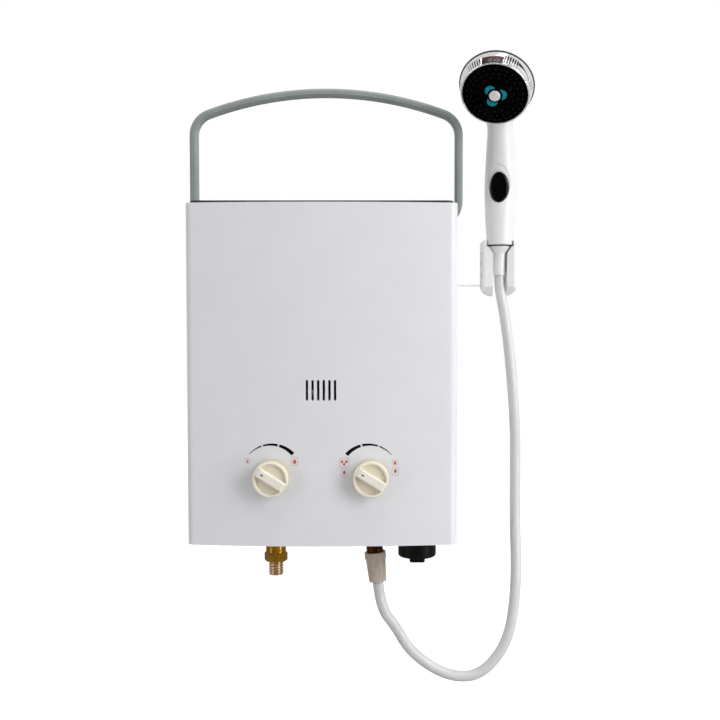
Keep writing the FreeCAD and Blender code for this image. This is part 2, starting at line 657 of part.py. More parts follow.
def exchanger_shell():
    """Copper combustion chamber, open above and below."""
    low = (-SHELL_HALF, SHELL_Y[0], SHELL_Z[0])
    high = (SHELL_HALF, SHELL_Y[1], SHELL_Z[1])
    outer = rounded_box(low, high, 6, Z_AXIS)
    inner_low = (low[0] + 1, low[1] + 1, low[2] - 1)
    inner_high = (high[0] - 1, high[1] - 1, high[2] + 1)
    return outer.cut(rounded_box(inner_low, inner_high, 5, Z_AXIS))


def exchanger_fins():
    """Thin copper fins threaded on the three passes of the tube."""
    fins = []
    pitch = 2 * (SHELL_HALF - 4) / (FIN_COUNT - 1)
    for index in range(FIN_COUNT):
        x = -SHELL_HALF + 4 + index * pitch
        fin = box((x - 0.25, SHELL_Y[0], FIN_Z[0]), (x + 0.25, SHELL_Y[1], FIN_Z[1]))
        for y in PASS_Y:
            fin = fin.cut(rod((x - 1, y, PASS_Z), X_AXIS, WATER_TUBE + 0.05, 2))
        fins.append(fin)
    return group(fins)


def exchanger_coil():
    """Copper tube: once round the chamber, then three passes through the fins."""
    side = SHELL_HALF + WATER_TUBE + 0.1
    front = SHELL_Y[0] - WATER_TUBE - 0.1
    back = SHELL_Y[1] + WATER_TUBE + 0.1
    end = SHELL_HALF + 14
    route = [
        (RISER_X, FITTING_Y, -130), (RISER_X, FITTING_Y, LOOP_Z), (RISER_X, back, LOOP_Z),
        (-side, back, LOOP_Z), (-side, front, LOOP_Z), (end, front, LOOP_Z), (end, front, PASS_Z),
        (end, PASS_Y[0], PASS_Z), (-end, PASS_Y[0], PASS_Z), (-end, PASS_Y[1], PASS_Z),
        (end, PASS_Y[1], PASS_Z), (end, PASS_Y[2], PASS_Z), (-RISER_X, PASS_Y[2], PASS_Z),
        (-RISER_X, PASS_Y[2], -70),
    ]
    return pipe(route, WATER_TUBE, WATER_WALL, WATER_BEND)


def flue_hood():
    """Steel duct from the fins up to the exhaust grille."""
    low = (-SHELL_HALF, SHELL_Y[0], FIN_Z[1])
    high = (SHELL_HALF, SHELL_Y[1], CASE_TOP - 0.2)
    inner_low = (low[0] + 1, low[1] + 1, low[2] - 1)
    inner_high = (high[0] - 1, high[1] - 1, high[2] + 1)
    return box(low, high).cut(box(inner_low, inner_high))


# ---------------------------------------------------------------- water train
HOUSING_X = (6.0, 20.5, 22.0, 36.0)   # cover, diaphragm and body of the water valve
HOUSING_RADIUS = 24.0
FLOOR_Z = CASE_BOTTOM + SHEET
HOT_LOW_Z = -290.0


def cold_pipe():
    """Two copper tubes: inlet to water valve, and water valve to exchanger."""
    inlet = [
        (COLD_X, COLD_Y, -300), (COLD_X, COLD_Y, KNOB_Z), (VALVE_TUBE_X, COLD_Y, KNOB_Z),
        (VALVE_TUBE_X, VALVE_Y[1], KNOB_Z),
    ]
    riser = [
        (VALVE_TUBE_X, FITTING_Y, VALVE_Z[1]), (VALVE_TUBE_X, FITTING_Y, -220),
        (RISER_X, FITTING_Y, -220), (RISER_X, FITTING_Y, -130),
    ]
    return group([pipe(inlet, WATER_TUBE, WATER_WALL, 9), pipe(riser, WATER_TUBE, WATER_WALL, 9)])


def hot_pipe():
    """Copper tube from the exchanger down the left side to the hose outlet."""
    route = [
        (-RISER_X, PASS_Y[2], -70), (-RISER_X, PASS_Y[2], HOT_LOW_Z), (OUTLET_X, PASS_Y[2], HOT_LOW_Z),
        (OUTLET_X, FITTING_Y, HOT_LOW_Z), (OUTLET_X, FITTING_Y, -300),
    ]
    return pipe(route, WATER_TUBE, WATER_WALL, 9)


def thermal_cutoff():
    """Overheat switch clipped to the hot pipe."""
    return rod((-RISER_X - WATER_TUBE - 7.5, PASS_Y[2], -92), X_AXIS, 8.0, 7.4)


def water_inlet_fitting():
    """Brass cold-water inlet with a male nipple and a spanner hexagon."""
    upper = rod((COLD_X, COLD_Y, FLOOR_Z), Z_AXIS, 10.0, -300 - FLOOR_Z)
    collar = rod((COLD_X, COLD_Y, -337), Z_AXIS, 12.5, FLOOR_Z + 337)
    nut = hexagon_bar((COLD_X, COLD_Y), 26.0, -345, -337)
    nipple = rod((COLD_X, COLD_Y, -360), Z_AXIS, WATER_THREAD_RADIUS, 15)
    bore = rod((COLD_X, COLD_Y, -361), Z_AXIS, 6.0, 70)
    recess = rod((COLD_X, COLD_Y, -361), Z_AXIS, 8.0, 9)
    return fuse([upper, collar, nut, nipple]).cut(fuse([bore, recess]))


def inlet_filter():
    """Mesh strainer in the mouth of the cold inlet."""
    cup = tube((COLD_X, COLD_Y, -359), Z_AXIS, 7.9, 6.6, 7)
    floor = rod((COLD_X, COLD_Y, -353), Z_AXIS, 6.6, 1)
    holes = []
    for column in range(-2, 3):
        for row in range(-2, 3):
            holes.append(rod((COLD_X + column * 2, COLD_Y + row * 2, -354), Z_AXIS, 0.6, 3))
    return fuse([cup, floor]).cut(group(holes))


def water_valve_body():
    """Water valve with half of the diaphragm housing on its left."""
    body = rounded_box((HOUSING_X[3], VALVE_Y[0], VALVE_Z[0]), (72, VALVE_Y[1], VALVE_Z[1]), 4, Y_AXIS)
    housing = rod((HOUSING_X[2], ROD_Y, KNOB_Z), X_AXIS, HOUSING_RADIUS, HOUSING_X[3] - HOUSING_X[2] + 2)
    neck = rod((KNOB_X, VALVE_Y[0] + 1, KNOB_Z), -Y_AXIS, 8.0, 9)
    drain = rod((DRAIN_X, ROD_Y, -316), Z_AXIS, 6.0, 316 + KNOB_Z - 10)
    cutters = [
        rod((KNOB_X, -110, KNOB_Z), Y_AXIS, STEM_RADIUS + RUNNING_GAP, 18),
        rod((HOUSING_X[2] - 1, ROD_Y, KNOB_Z), X_AXIS, 18.0, 9),
        rod((VALVE_TUBE_X, VALVE_Y[1] - 8, KNOB_Z), Y_AXIS, 5.5, 9),
        rod((VALVE_TUBE_X, FITTING_Y, VALVE_Z[1] - 8), Z_AXIS, 5.5, 9),
        rod((DRAIN_X, ROD_Y, -317), Z_AXIS, 4.0, 50),
    ]
    return fuse([body, housing, neck, drain]).cut(group(cutters))


def water_valve_cover():
    """Other half of the diaphragm housing, bored for the push rod."""
    cover = rod((HOUSING_X[0], ROD_Y, KNOB_Z), X_AXIS, HOUSING_RADIUS, HOUSING_X[1] - HOUSING_X[0])
    cover = rounded(cover, 3, lambda edge: edge.BoundBox.XMax < HOUSING_X[0] + 0.1)
    cavity = rod((12, ROD_Y, KNOB_Z), X_AXIS, 18.0, 10)
    bore = rod((0, ROD_Y, KNOB_Z), X_AXIS, 2.05, 14)
    return cover.cut(fuse([cavity, bore]))


def valve_diaphragm():
    """Rubber diaphragm clamped between the two halves of the housing."""
    return rod((HOUSING_X[1], ROD_Y, KNOB_Z), X_AXIS, HOUSING_RADIUS - 1, HOUSING_X[2] - HOUSING_X[1])


def valve_push_rod():
    """Rod that the diaphragm pushes to open the gas valve, with the switch's collar."""
    shaft = rod((-45, ROD_Y, KNOB_Z), X_AXIS, 2.0, 62)
    plate = rod((17, ROD_Y, KNOB_Z), X_AXIS, 14.0, 2)
    collar = rod((-16, ROD_Y, KNOB_Z), X_AXIS, 4.5, 4)
    return fuse([shaft, plate, collar])


def microswitch():
    """Switch above the push rod that starts the sparks when water flows."""
    base = KNOB_Z + 8
    body = rounded_box((-26, ROD_Y - 6, base), (-4, ROD_Y + 6, base + 13), 1, Y_AXIS)
    lever = box((-22, ROD_Y - 2.5, base - 1), (-6, ROD_Y + 2.5, base))
    roller = rod((-20, ROD_Y - 2.5, base - 2), Y_AXIS, 1.4, 5)
    return fuse([body, lever, roller])


def drain_plug():
    """Knurled plug below the water valve, opened against frost."""
    shank = rod((DRAIN_X, ROD_Y, FLOOR_Z), Z_AXIS, 5.8, -316 - FLOOR_Z)
    head = rod((DRAIN_X, ROD_Y, FLOOR_Z - 10), Z_AXIS, 8.5, 10)
    head = rounded(head, 1.2, lambda edge: edge.BoundBox.ZMax < FLOOR_Z - 9.9)
    spigot = rod((DRAIN_X, ROD_Y, -316), Z_AXIS, 3.9, 8)
    return fuse([shank, head, spigot])


# ---------------------------------------------------------------- electrics
MODULE_LOW = (-141.0, -98.0, -160.0)
MODULE_HIGH = (-115.0, -52.0, -90.0)
CELL_Z = -335.0
CAP_Z = (-345.0, -342.0, -329.0)


def igniter_module():
    """Sealed pulse igniter."""
    return rounded_box(MODULE_LOW, MODULE_HIGH, 3, Z_AXIS)


def ignition_leads():
    """Insulated leads from the igniter to the two electrodes and the flame sensor."""
    leads = []
    for index, x in enumerate((-24, -12, 22)):
        drop = -182 - 4 * index
        start_x = -133 + 5 * index
        route = [
            (start_x, -78, MODULE_LOW[2]), (start_x, -78, -176), (-116 + index, -104, drop),
            (x, -112, drop), (x, -112, SLOT_Z - 3), (x, -108, SLOT_Z - 3),
        ]
        leads.append(swept(route, 1.5, 3.2)[0])
    return group(leads)


def battery_tube():
    """Upright tube for two cells, closed at the top, standing in the floor."""
    outer = rod((BATTERY_X, BATTERY_Y, -341), Z_AXIS, 19.0, 133.5)
    flange = rod((BATTERY_X, BATTERY_Y, FLOOR_Z + 1.2), Z_AXIS, 23.0, 2)
    inner = rod((BATTERY_X, BATTERY_Y, -342), Z_AXIS, 17.2, 132.5)
    return fuse([outer, flange]).cut(inner)


def batteries():
    """Two D cells, one on the other."""
    cells = []
    for index in range(2):
        z = CELL_Z + index * BATTERY_LENGTH
        body = rod((BATTERY_X, BATTERY_Y, z), Z_AXIS, BATTERY_RADIUS, BATTERY_LENGTH - 1.5)
        body = rounded(body, 1.2, lambda edge: isinstance(edge.Curve, Part.Circle))
        nub = rod((BATTERY_X, BATTERY_Y, z + BATTERY_LENGTH - 1.6), Z_AXIS, 4.5, 1.6)
        cells.append(fuse([body, nub]))
    return group(cells)


def battery_contacts():
    """Flat contact above the cells and a coil spring below them."""
    plate = rod((BATTERY_X, BATTERY_Y, CELL_Z + 2 * BATTERY_LENGTH), Z_AXIS, 8.0, 1.0)
    coil_radius = 8.0
    turns = 3
    points_per_turn = 12
    rise = (CELL_Z - CAP_Z[1] - 1.6) / (turns * points_per_turn)
    route = []
    for step in range(turns * points_per_turn + 1):
        angle = 2 * math.pi * step / points_per_turn
        x = BATTERY_X + coil_radius * math.cos(angle)
        y = BATTERY_Y + coil_radius * math.sin(angle)
        route.append((x, y, CAP_Z[1] + 0.8 + step * rise))
    spring = swept(route, 0.45)[0]
    return group([plate, spring])


def battery_cap():
    """Turn-off cap of the battery tube with a raised grip bar."""
    cup = rod((BATTERY_X, BATTERY_Y, CAP_Z[0]), Z_AXIS, 20.8, CAP_Z[2] - CAP_Z[0])
    cup = rounded(cup, 2.5, lambda edge: edge.BoundBox.ZMax < CAP_Z[0] + 0.1)
    cup = cup.cut(rod((BATTERY_X, BATTERY_Y, CAP_Z[1]), Z_AXIS, 19.0 + RUNNING_GAP, 20))
    near = (BATTERY_X - 8.3, BATTERY_Y - 17, CAP_Z[0] - 4.2)
    grip = rounded_box(near, (BATTERY_X + 8.3, BATTERY_Y + 17, CAP_Z[0] + 1), 3, Z_AXIS)
    grip = rounded(grip, 1.2, lambda edge: edge.BoundBox.ZMax < CAP_Z[0] - 4.1)
    return fuse([cup, grip])


# ---------------------------------------------------------------- hose
NUT_START = 20.0                      # distances along the tilted outlet, from the floor
NUT_LENGTH = 33.5
OUTLET_LENGTH = 36.0


def tilted(shape):
    """Lean a shape drawn straight below the outlet's hole about that hole."""
    leaning = shape.copy()
    leaning.rotate(vec(OUTLET_X, FITTING_Y, FLOOR_Z), Y_AXIS, -OUTLET_TILT)
    return leaning


def water_outlet_fitting():
    """Hot-water outlet: upright inside the case, leaning nipple outside it."""
    upper = rod((OUTLET_X, FITTING_Y, FLOOR_Z - 1), Z_AXIS, 10.0, -300 - FLOOR_Z + 1)
    nipple = tilted(rod((OUTLET_X, FITTING_Y, FLOOR_Z), -Z_AXIS, 9.3, OUTLET_LENGTH))
    bore = rod((OUTLET_X, FITTING_Y, FLOOR_Z - 2), Z_AXIS, 5.0, 40)
    lower_bore = tilted(rod((OUTLET_X, FITTING_Y, FLOOR_Z + 2), -Z_AXIS, 4.6, OUTLET_LENGTH + 5))
    return fuse([upper, nipple]).cut(fuse([bore, lower_bore]))


def hose_nut():
    """Ribbed plastic nut that holds the hose on the outlet."""
    top = FLOOR_Z - NUT_START
    collar = rod((OUTLET_X, FITTING_Y, top), -Z_AXIS, 12.0, 8)
    collar = rounded(collar, 0.8, lambda edge: isinstance(edge.Curve, Part.Circle))
    body = cone((OUTLET_X, FITTING_Y, top - 7), -Z_AXIS, 11.2, 9.8, NUT_LENGTH - 7)
    socket = rod((OUTLET_X, FITTING_Y, top + 1), -Z_AXIS, 9.4, 20.6)
    bore = rod((OUTLET_X, FITTING_Y, top), -Z_AXIS, 4.5, 40)
    grooves = []
    for index in range(12):
        angle = math.radians(30 * index + 15)
        centre = (OUTLET_X + 12.2 * math.cos(angle), FITTING_Y + 12.2 * math.sin(angle), top - 10)
        grooves.append(cone(centre, -Z_AXIS, 1.7, 2.4, NUT_LENGTH - 14))
    return tilted(fuse([collar, body]).cut(group([socket, bore])).cut(group(grooves)))


def hose_washer():
    """Rubber washer between the outlet and the nut."""
    return tilted(tube((OUTLET_X, FITTING_Y, FLOOR_Z - OUTLET_LENGTH), -Z_AXIS, 9.2, 4.6, 3.5))


def shower_hose():
    """The hose, as a plain round bar along its route."""
    hose, length, radii = swept(HOSE_ROUTE, HOSE_RADIUS)
    expected = math.pi * HOSE_RADIUS ** 2 * length
    print("hose length", round(length, 1))
    print("hose volume over section times length", round(hose.Volume / expected, 4))
    print("hose bend radii", [round(radius) for radius in radii])
    return hose


# ---------------------------------------------------------------- handset
BODY_SECTIONS = (                     # height, half width, half depth, centre's y
    (0.0, 14.5, 14.5, 0.0),
    (22.0, 16.35, 15.4, 1.2),
    (62.0, 18.55, 17.0, 6.9),
    (105.0, 16.75, 16.0, 6.4),
    (137.0, 14.65, 14.6, 1.0),
    (156.0, 16.0, 14.6, -5.5),
    (176.0, 20.0, 13.0, -17.0),
)
CONE_END_Z = HOSE_ROUTE[0][2]
SEAL_DEPTH = 18.6                     # back of the ring, behind the face


def in_hand(shape):
    """Turn a shape drawn on the handset's own axis and set it in the holder."""
    placed = shape.copy()
    placed.rotate(ORIGIN, Z_AXIS, HANDSET_YAW)
    placed.translate(vec(HANDSET_X, HANDSET_Y, 0))
    return placed


def on_head(shape):
    """Tilt a shape drawn with the face at z = 0 and +Z backwards, and put it on the head."""
    tipped = shape.copy()
    tipped.rotate(ORIGIN, X_AXIS, HEAD_TILT - 90)
    tipped.translate(vec(0, HEAD_CENTRE_Y, HEAD_CENTRE_Z))
    return in_hand(tipped)


def ellipse_wire(z, half_x, half_y, centre_y):
    curve = Part.Ellipse(vec(0, centre_y, z), max(half_x, half_y), min(half_x, half_y))
    wire = Part.Wire(curve.toShape())
    if half_y > half_x:
        wire.rotate(vec(0, centre_y, z), Z_AXIS, 90)
    return wire


def turned(points):
    """Solid of revolution about Z from (radius, z) points."""
    outline = Part.makePolygon([vec(radius, 0, z) for radius, z in points + [points[0]]])
    return Part.Face(outline).revolve(ORIGIN, Z_AXIS, 360)


def oval_block(half_x, half_z, centre_z, y_low, y_high):
    curve = Part.Ellipse(ORIGIN, half_z, half_x)
    face = Part.Face(Part.Wire(curve.toShape()))
    block = face.extrude(Z_AXIS * (y_high - y_low))
    block.rotate(ORIGIN, Z_AXIS, 90)
    block.rotate(ORIGIN, X_AXIS, -90)
    block.translate(vec(0, y_low, centre_z))
    return block


def head_dome():
    """Rounded back of the shower head with a spigot inside the ring."""
    rim = vec(RING_BACK_RADIUS - 0.4, 0, 20.8)
    crown = vec(0, 0, 39)
    edges = [
        Part.LineSegment(vec(0, 0, 14.6), vec(34, 0, 14.6)),
        Part.LineSegment(vec(34, 0, 14.6), vec(34, 0, 19.3)),
        Part.LineSegment(vec(34, 0, 19.3), vec(rim.x, 0, 19.3)),
        Part.LineSegment(vec(rim.x, 0, 19.3), rim),
        Part.Arc(rim, vec(30, 0, 33.2), crown),
        Part.LineSegment(crown, vec(0, 0, 14.6)),
    ]
    face = Part.Face(Part.Wire([edge.toShape() for edge in edges]))
    return face.revolve(ORIGIN, Z_AXIS, 360)


def handset_body():
    """White handle that swells in the middle and flows into the back of the head."""
    grip = Part.makeLoft([ellipse_wire(*section) for section in BODY_SECTIONS], True, False)
    facet = oval_block(11.9, 21.5, BUTTON_Z + 4.5, -30, GRIP_FRONT_Y + 0.7)
    pocket = oval_block(10.7, 17.4, BUTTON_Z, -30, GRIP_FRONT_Y + 6.4)
    waterway = swept([(0, 0, -1), (0, 5.5, 35), (0, 7, 85), (0, 3, 138)], 4.5)[0]
    grip = in_hand(grip.cut(facet).cut(pocket).cut(waterway))
    room = [(0, -30), (RING_FRONT_RADIUS - 6, -30), (RING_BACK_RADIUS + 1.3, 19.3), (0, 19.3)]
    front_room = on_head(turned(room))
    grip = grip.cut(front_room)
    return fuse([on_head(head_dome()), grip])


def head_ring():
    """Chromed ring round the face, with a shallow window for the setting marks."""
    ring = turned([
        (FACE_RADIUS + 0.3, -0.8), (RING_FRONT_RADIUS, -0.8), (RING_BACK_RADIUS, SEAL_DEPTH),
        (FACE_RADIUS + 0.3, SEAL_DEPTH)])
    window = box((-12, -60, 0.9), (12, -30, 10.5)).cut(rod((0, 0, -1), Z_AXIS, 37.3, 20))
    return on_head(ring.cut(window))


def head_seal():
    """Black rubber seal between the ring and the back of the head."""
    return on_head(tube((0, 0, SEAL_DEPTH), Z_AXIS, RING_BACK_RADIUS + 0.9, 34.2, 0.7))


def spray_face():
    """Black face with a raised hub, which turns to choose the spray."""
    face = rod((0, 0, -1.6), Z_AXIS, FACE_RADIUS, 16)
    face = rounded(face, 1.2, lambda edge: edge.BoundBox.ZMax < -1.5)
    hub = cone((0, 0, -1), -Z_AXIS, 19.5, 17.5, -1 - HUB_Z)
    return on_head(fuse([face, hub]))


def spray_nozzles():
    """Rubber nozzles in rings on the face."""
    nozzles = []
    for radius, count in ((31.0, 30), (26.0, 24), (20.5, 15)):
        for index in range(count):
            angle = 2 * math.pi * index / count
            centre = (radius * math.cos(angle), radius * math.sin(angle), -1.6)
            nozzles.append(cone(centre, -Z_AXIS, 1.0, 0.6, 1.0))
    return on_head(group(nozzles))


def face_petals():
    """Three coloured crescents round the centre cap."""
    petals = []
    middle = rod((0, 0, HUB_Z - 1), Z_AXIS, 8.6, 2)
    for angle in (5, 125, 245):
        across = 7.5 * math.cos(math.radians(angle))
        upwards = -7.5 * math.sin(math.radians(angle))
        petals.append(rod((across, upwards, HUB_Z), -Z_AXIS, 6.0, 0.4).cut(middle))
    return on_head(group(petals))


def centre_cap():
    """White cap over the screw in the middle of the face."""
    tip = HUB_Z - 2
    cap = rod((0, 0, HUB_Z), -Z_AXIS, 6.2, 2.0)
    return on_head(rounded(cap, 0.8, lambda edge: edge.BoundBox.ZMax < tip + 0.1))


def pause_button():
    """Oval push button that stops the water."""
    tip = GRIP_FRONT_Y - 2
    button = oval_block(10.3, 17.0, BUTTON_Z, tip, GRIP_FRONT_Y + 3.8)
    return in_hand(rounded(button, 1.4, lambda edge: edge.BoundBox.YMax < tip + 0.1))


def tail_ring():
    """Dark seal between the handset and the hose end."""
    return in_hand(tube((0, 0, -1.3), Z_AXIS, 12.8, 5.0, 1.3))


def hose_end_cone():
    """White union nut and sleeve at the handset end of the hose."""
    collar = rod((0, 0, -1.3), -Z_AXIS, 12.0, 1.3)
    taper = cone((0, 0, -2.6), -Z_AXIS, 12.0, 7.6, 6.4)
    sleeve = cone((0, 0, CONE_END_Z), Z_AXIS, 6.8, 7.4, -8.5 - CONE_END_Z)
    bore = rod((0, 0, CONE_END_Z - 1), Z_AXIS, 4.5, 40)
    return in_hand(fuse([collar, taper, sleeve]).cut(bore))


# ---------------------------------------------------------------- holder
HOLDER_X = HANDSET_X - 0.8
HOLDER_HALF = 20.0
HOLDER_Y = (-38.0, -8.0)
HOLDER_Z = (-58.0, 5.5)
HOLDER_SLOPE = 10.5                   # the lower ends slope back by this much
TAIL_SEAT = (15.3, -1.8)              # radius and floor of the seat for the handset's tail
NUT_SEAT = (13.1, -1.7, 8.0, -9.4)    # its union nut's: radius and height, top then bottom
FORK_HALF = 7.8
FORK_OPEN_Z = -30.0                   # below this the slot runs through to the back
RECESS_DEPTH = 2.9                    # the strap is let into the holder's left side
RECESS_TOP = -8.0


def shower_holder():
    """Forked holder: the handset's tail sits between its arms, the hose hangs through."""
    low = (HOLDER_X - HOLDER_HALF, HOLDER_Y[0], HOLDER_Z[0])
    high = (HOLDER_X + HOLDER_HALF, HOLDER_Y[1], HOLDER_Z[1])
    block = box(low, high)

    def bottom_end(edge):
        return is_parallel(edge, Y_AXIS) and edge.BoundBox.ZMax < low[2] + 0.1
    block = rounded(block, 13.0, bottom_end)

    slope_start = HOLDER_Z[0] + HOLDER_SLOPE
    slope = Part.makePolygon([
        vec(low[0] - 1, low[1] - 1, slope_start + 1), vec(low[0] - 1, low[1] + HOLDER_SLOPE, low[2] - 1),
        vec(low[0] - 1, low[1] - 1, low[2] - 1), vec(low[0] - 1, low[1] - 1, slope_start + 1)])
    block = block.cut(Part.Face(slope).extrude(X_AXIS * (2 * HOLDER_HALF + 2)))

    def top_or_front(edge):
        bounds = edge.BoundBox
        is_top_end = is_parallel(edge, Y_AXIS) and bounds.ZMin > high[2] - 0.1
        is_front_side = is_parallel(edge, Z_AXIS) and bounds.YMax < low[1] + 0.1
        return is_top_end or is_front_side
    block = rounded(block, 4.0, top_or_front)
    fork_low = (HANDSET_X - FORK_HALF, low[1] - 1, low[2] - 1)
    fork = box(fork_low, (HANDSET_X + FORK_HALF, HANDSET_Y, high[2] + 1))
    fork_end = rod((HANDSET_X, HANDSET_Y, low[2] - 1), Z_AXIS, FORK_HALF, HOLDER_Z[1] - HOLDER_Z[0] + 2)
    block = block.cut(fuse([fork, fork_end]))
    gap_low = (HANDSET_X - FORK_HALF, HANDSET_Y, low[2] - 1)
    block = block.cut(box(gap_low, (HANDSET_X + FORK_HALF, high[1] + 1, FORK_OPEN_Z)))
    radius, floor = TAIL_SEAT
    seat = rod((HANDSET_X, HANDSET_Y, floor), Z_AXIS, radius, 30)
    mouth = box((HANDSET_X - radius, low[1] - 1, floor), (HANDSET_X + radius, HANDSET_Y, high[2] + 1))
    block = block.cut(fuse([seat, mouth]))
    wide, top, narrow, bottom = NUT_SEAT
    seat = cone((HANDSET_X, HANDSET_Y, bottom), Z_AXIS, narrow, wide, top - bottom)
    outline = Part.makePolygon([
        vec(HANDSET_X - narrow, low[1] - 1, bottom), vec(HANDSET_X + narrow, low[1] - 1, bottom),
        vec(HANDSET_X + wide, low[1] - 1, top), vec(HANDSET_X - wide, low[1] - 1, top),
        vec(HANDSET_X - narrow, low[1] - 1, bottom)])
    mouth = Part.Face(outline).extrude(Y_AXIS * (HANDSET_Y - low[1] + 1))
    block = block.cut(seat).cut(mouth)
    recess_low = (low[0] - 1, STRAP_Y[0] - 0.3, STRAP_Z - 0.3)
    block = block.cut(box(recess_low, (low[0] + RECESS_DEPTH, STRAP_Y[1] + 0.3, RECESS_TOP)))
    holes = []
    for z in RIVET_HEIGHTS:
        holes.append(rod((low[0], STRAP_MIDDLE_Y, z), X_AXIS, 1.55, RECESS_DEPTH + 4.5))
    return block.cut(group(holes))


def holder_strap():
    """Flat steel strap from inside the case's right side out to the holder."""
    inner_x = HALF_WIDTH - SHEET - STRAP_THICK
    outer_x = HOLDER_X - HOLDER_HALF + RECESS_DEPTH
    legs_top = STRAP_Z + 34
    bar = box((inner_x, STRAP_Y[0], STRAP_Z), (outer_x, STRAP_Y[1], STRAP_Z + STRAP_THICK))
    inner_leg = box((inner_x, STRAP_Y[0], STRAP_Z), (inner_x + STRAP_THICK, STRAP_Y[1], legs_top))
    outer_leg = box((outer_x - STRAP_THICK, STRAP_Y[0], STRAP_Z), (outer_x, STRAP_Y[1], legs_top))
    strap = fuse([bar, inner_leg, outer_leg])
    for z in RIVET_HEIGHTS:
        strap = strap.cut(rod((inner_x - 1, STRAP_MIDDLE_Y, z), X_AXIS, 1.6, outer_x - inner_x + 2))
    return strap


def holder_screws():
    """Flush rivets in the case's side and two screws into the holder."""
    fasteners = []
    inner_x = HALF_WIDTH - SHEET - STRAP_THICK
    face_x = HOLDER_X - HOLDER_HALF + RECESS_DEPTH - STRAP_THICK
    for z in RIVET_HEIGHTS:
        shank = rod((inner_x, STRAP_MIDDLE_Y, z), X_AXIS, 1.55, HALF_WIDTH - inner_x)
        flush = cone((HALF_WIDTH - 0.55, STRAP_MIDDLE_Y, z), X_AXIS, 1.55, 3.1, 0.55)
        tail = rod((inner_x - 1.2, STRAP_MIDDLE_Y, z), X_AXIS, 2.8, 1.2)
        fasteners.append(fuse([shank, flush, tail]))
        screw = rod((face_x, STRAP_MIDDLE_Y, z), X_AXIS, 1.5, 5)
        head = rod((face_x - 1.2, STRAP_MIDDLE_Y, z), X_AXIS, 2.9, 1.2)
        fasteners.append(fuse([screw, head]))
    return group(fasteners)


# ---------------------------------------------------------------- build
PIECES = {
    "back_panel": back_panel,
    "front_cover": front_cover,
    "bottom_plate": bottom_plate,
    "flue_cap": flue_cap,
    "cover_screws": cover_screws,
    "handle": handle,
    "handle_bushes": handle_bushes,
    "handle_clips": handle_clips,
    "gas_knob": lambda: knob(-KNOB_X),
    "water_knob": lambda: knob(KNOB_X),
    "gas_valve_stem": lambda: stem(-KNOB_X),
    "water_valve_stem": lambda: stem(KNOB_X),
    "gas_inlet_adapter": gas_inlet_adapter,
    "gas_inlet_nipple": gas_inlet_nipple,
    "gas_valve_body": gas_valve_body,
    "gas_solenoid": gas_solenoid,
    "gas_manifold": gas_manifold,
    "gas_injectors": gas_injectors,
    "burner_blades": burner_blades,
    "burner_frame": burner_frame,
    "spark_electrodes": spark_electrodes,
    "flame_sensor": flame_sensor,
    "ignition_leads": ignition_leads,
    "igniter_module": igniter_module,
    "exchanger_shell": exchanger_shell,
    "exchanger_fins": exchanger_fins,
    "exchanger_coil": exchanger_coil,
    "flue_hood": flue_hood,
    "cold_pipe": cold_pipe,
    "hot_pipe": hot_pipe,
    "thermal_cutoff": thermal_cutoff,
    "water_inlet_fitting": water_inlet_fitting,
    "inlet_filter": inlet_filter,
    "water_valve_body": water_valve_body,
    "water_valve_cover": water_valve_cover,
    "valve_diaphragm": valve_diaphragm,
    "valve_push_rod": valve_push_rod,
    "microswitch": microswitch,
    "drain_plug": drain_plug,
    "battery_tube": battery_tube,
    "battery_cap": battery_cap,
    "batteries": batteries,
    "battery_contacts": battery_contacts,
    "water_outlet_fitting": water_outlet_fitting,
    "hose_washer": hose_washer,
    "hose_nut": hose_nut,
    "shower_hose": shower_hose,
    "hose_end_cone": hose_end_cone,
    "tail_ring": tail_ring,
    "handset_body": handset_body,
    "head_ring": head_ring,
    "head_seal": head_seal,
    "spray_face": spray_face,
    "spray_nozzles": spray_nozzles,
    "face_petals": face_petals,
    "centre_cap": centre_cap,
    "pause_button": pause_button,
    "shower_holder": shower_holder,
    "holder_strap": holder_strap,
    "holder_screws": holder_screws,
}


def main():
    os.makedirs("parts", exist_ok=True)
    for name, make in PIECES.items():
        shape = make()
        shape.exportStep(os.path.join("parts", name + ".step"))
        print(name, "solids", len(shape.Solids), "valid", shape.isValid(), "volume", round(shape.Volume, 1))


main()
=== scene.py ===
"""Looks of the portable propane water heater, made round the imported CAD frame.

Metres, in the part's own frame: +X is to the right of somebody facing the knobs, +Y points
into the wall and +Z is up.  The origin is midway between the two wall holes.
"""
import json
import math

import bpy
import numpy as np
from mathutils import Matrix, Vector


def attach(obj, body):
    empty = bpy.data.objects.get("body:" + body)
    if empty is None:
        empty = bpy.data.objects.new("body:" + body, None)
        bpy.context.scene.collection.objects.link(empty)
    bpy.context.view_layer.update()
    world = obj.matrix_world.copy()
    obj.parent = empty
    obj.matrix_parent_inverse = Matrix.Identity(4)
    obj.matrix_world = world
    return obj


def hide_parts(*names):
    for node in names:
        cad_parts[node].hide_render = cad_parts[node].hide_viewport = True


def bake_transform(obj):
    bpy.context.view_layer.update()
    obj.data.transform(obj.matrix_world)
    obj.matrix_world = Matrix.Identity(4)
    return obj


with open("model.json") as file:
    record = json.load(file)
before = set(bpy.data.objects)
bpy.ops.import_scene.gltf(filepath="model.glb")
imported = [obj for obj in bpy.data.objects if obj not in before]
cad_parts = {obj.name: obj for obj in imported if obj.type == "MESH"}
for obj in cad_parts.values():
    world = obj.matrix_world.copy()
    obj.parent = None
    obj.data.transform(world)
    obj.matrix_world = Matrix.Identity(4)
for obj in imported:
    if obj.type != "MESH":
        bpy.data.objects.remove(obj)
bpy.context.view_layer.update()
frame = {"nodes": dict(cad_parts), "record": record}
NODES = frame["nodes"]
MM = 0.001

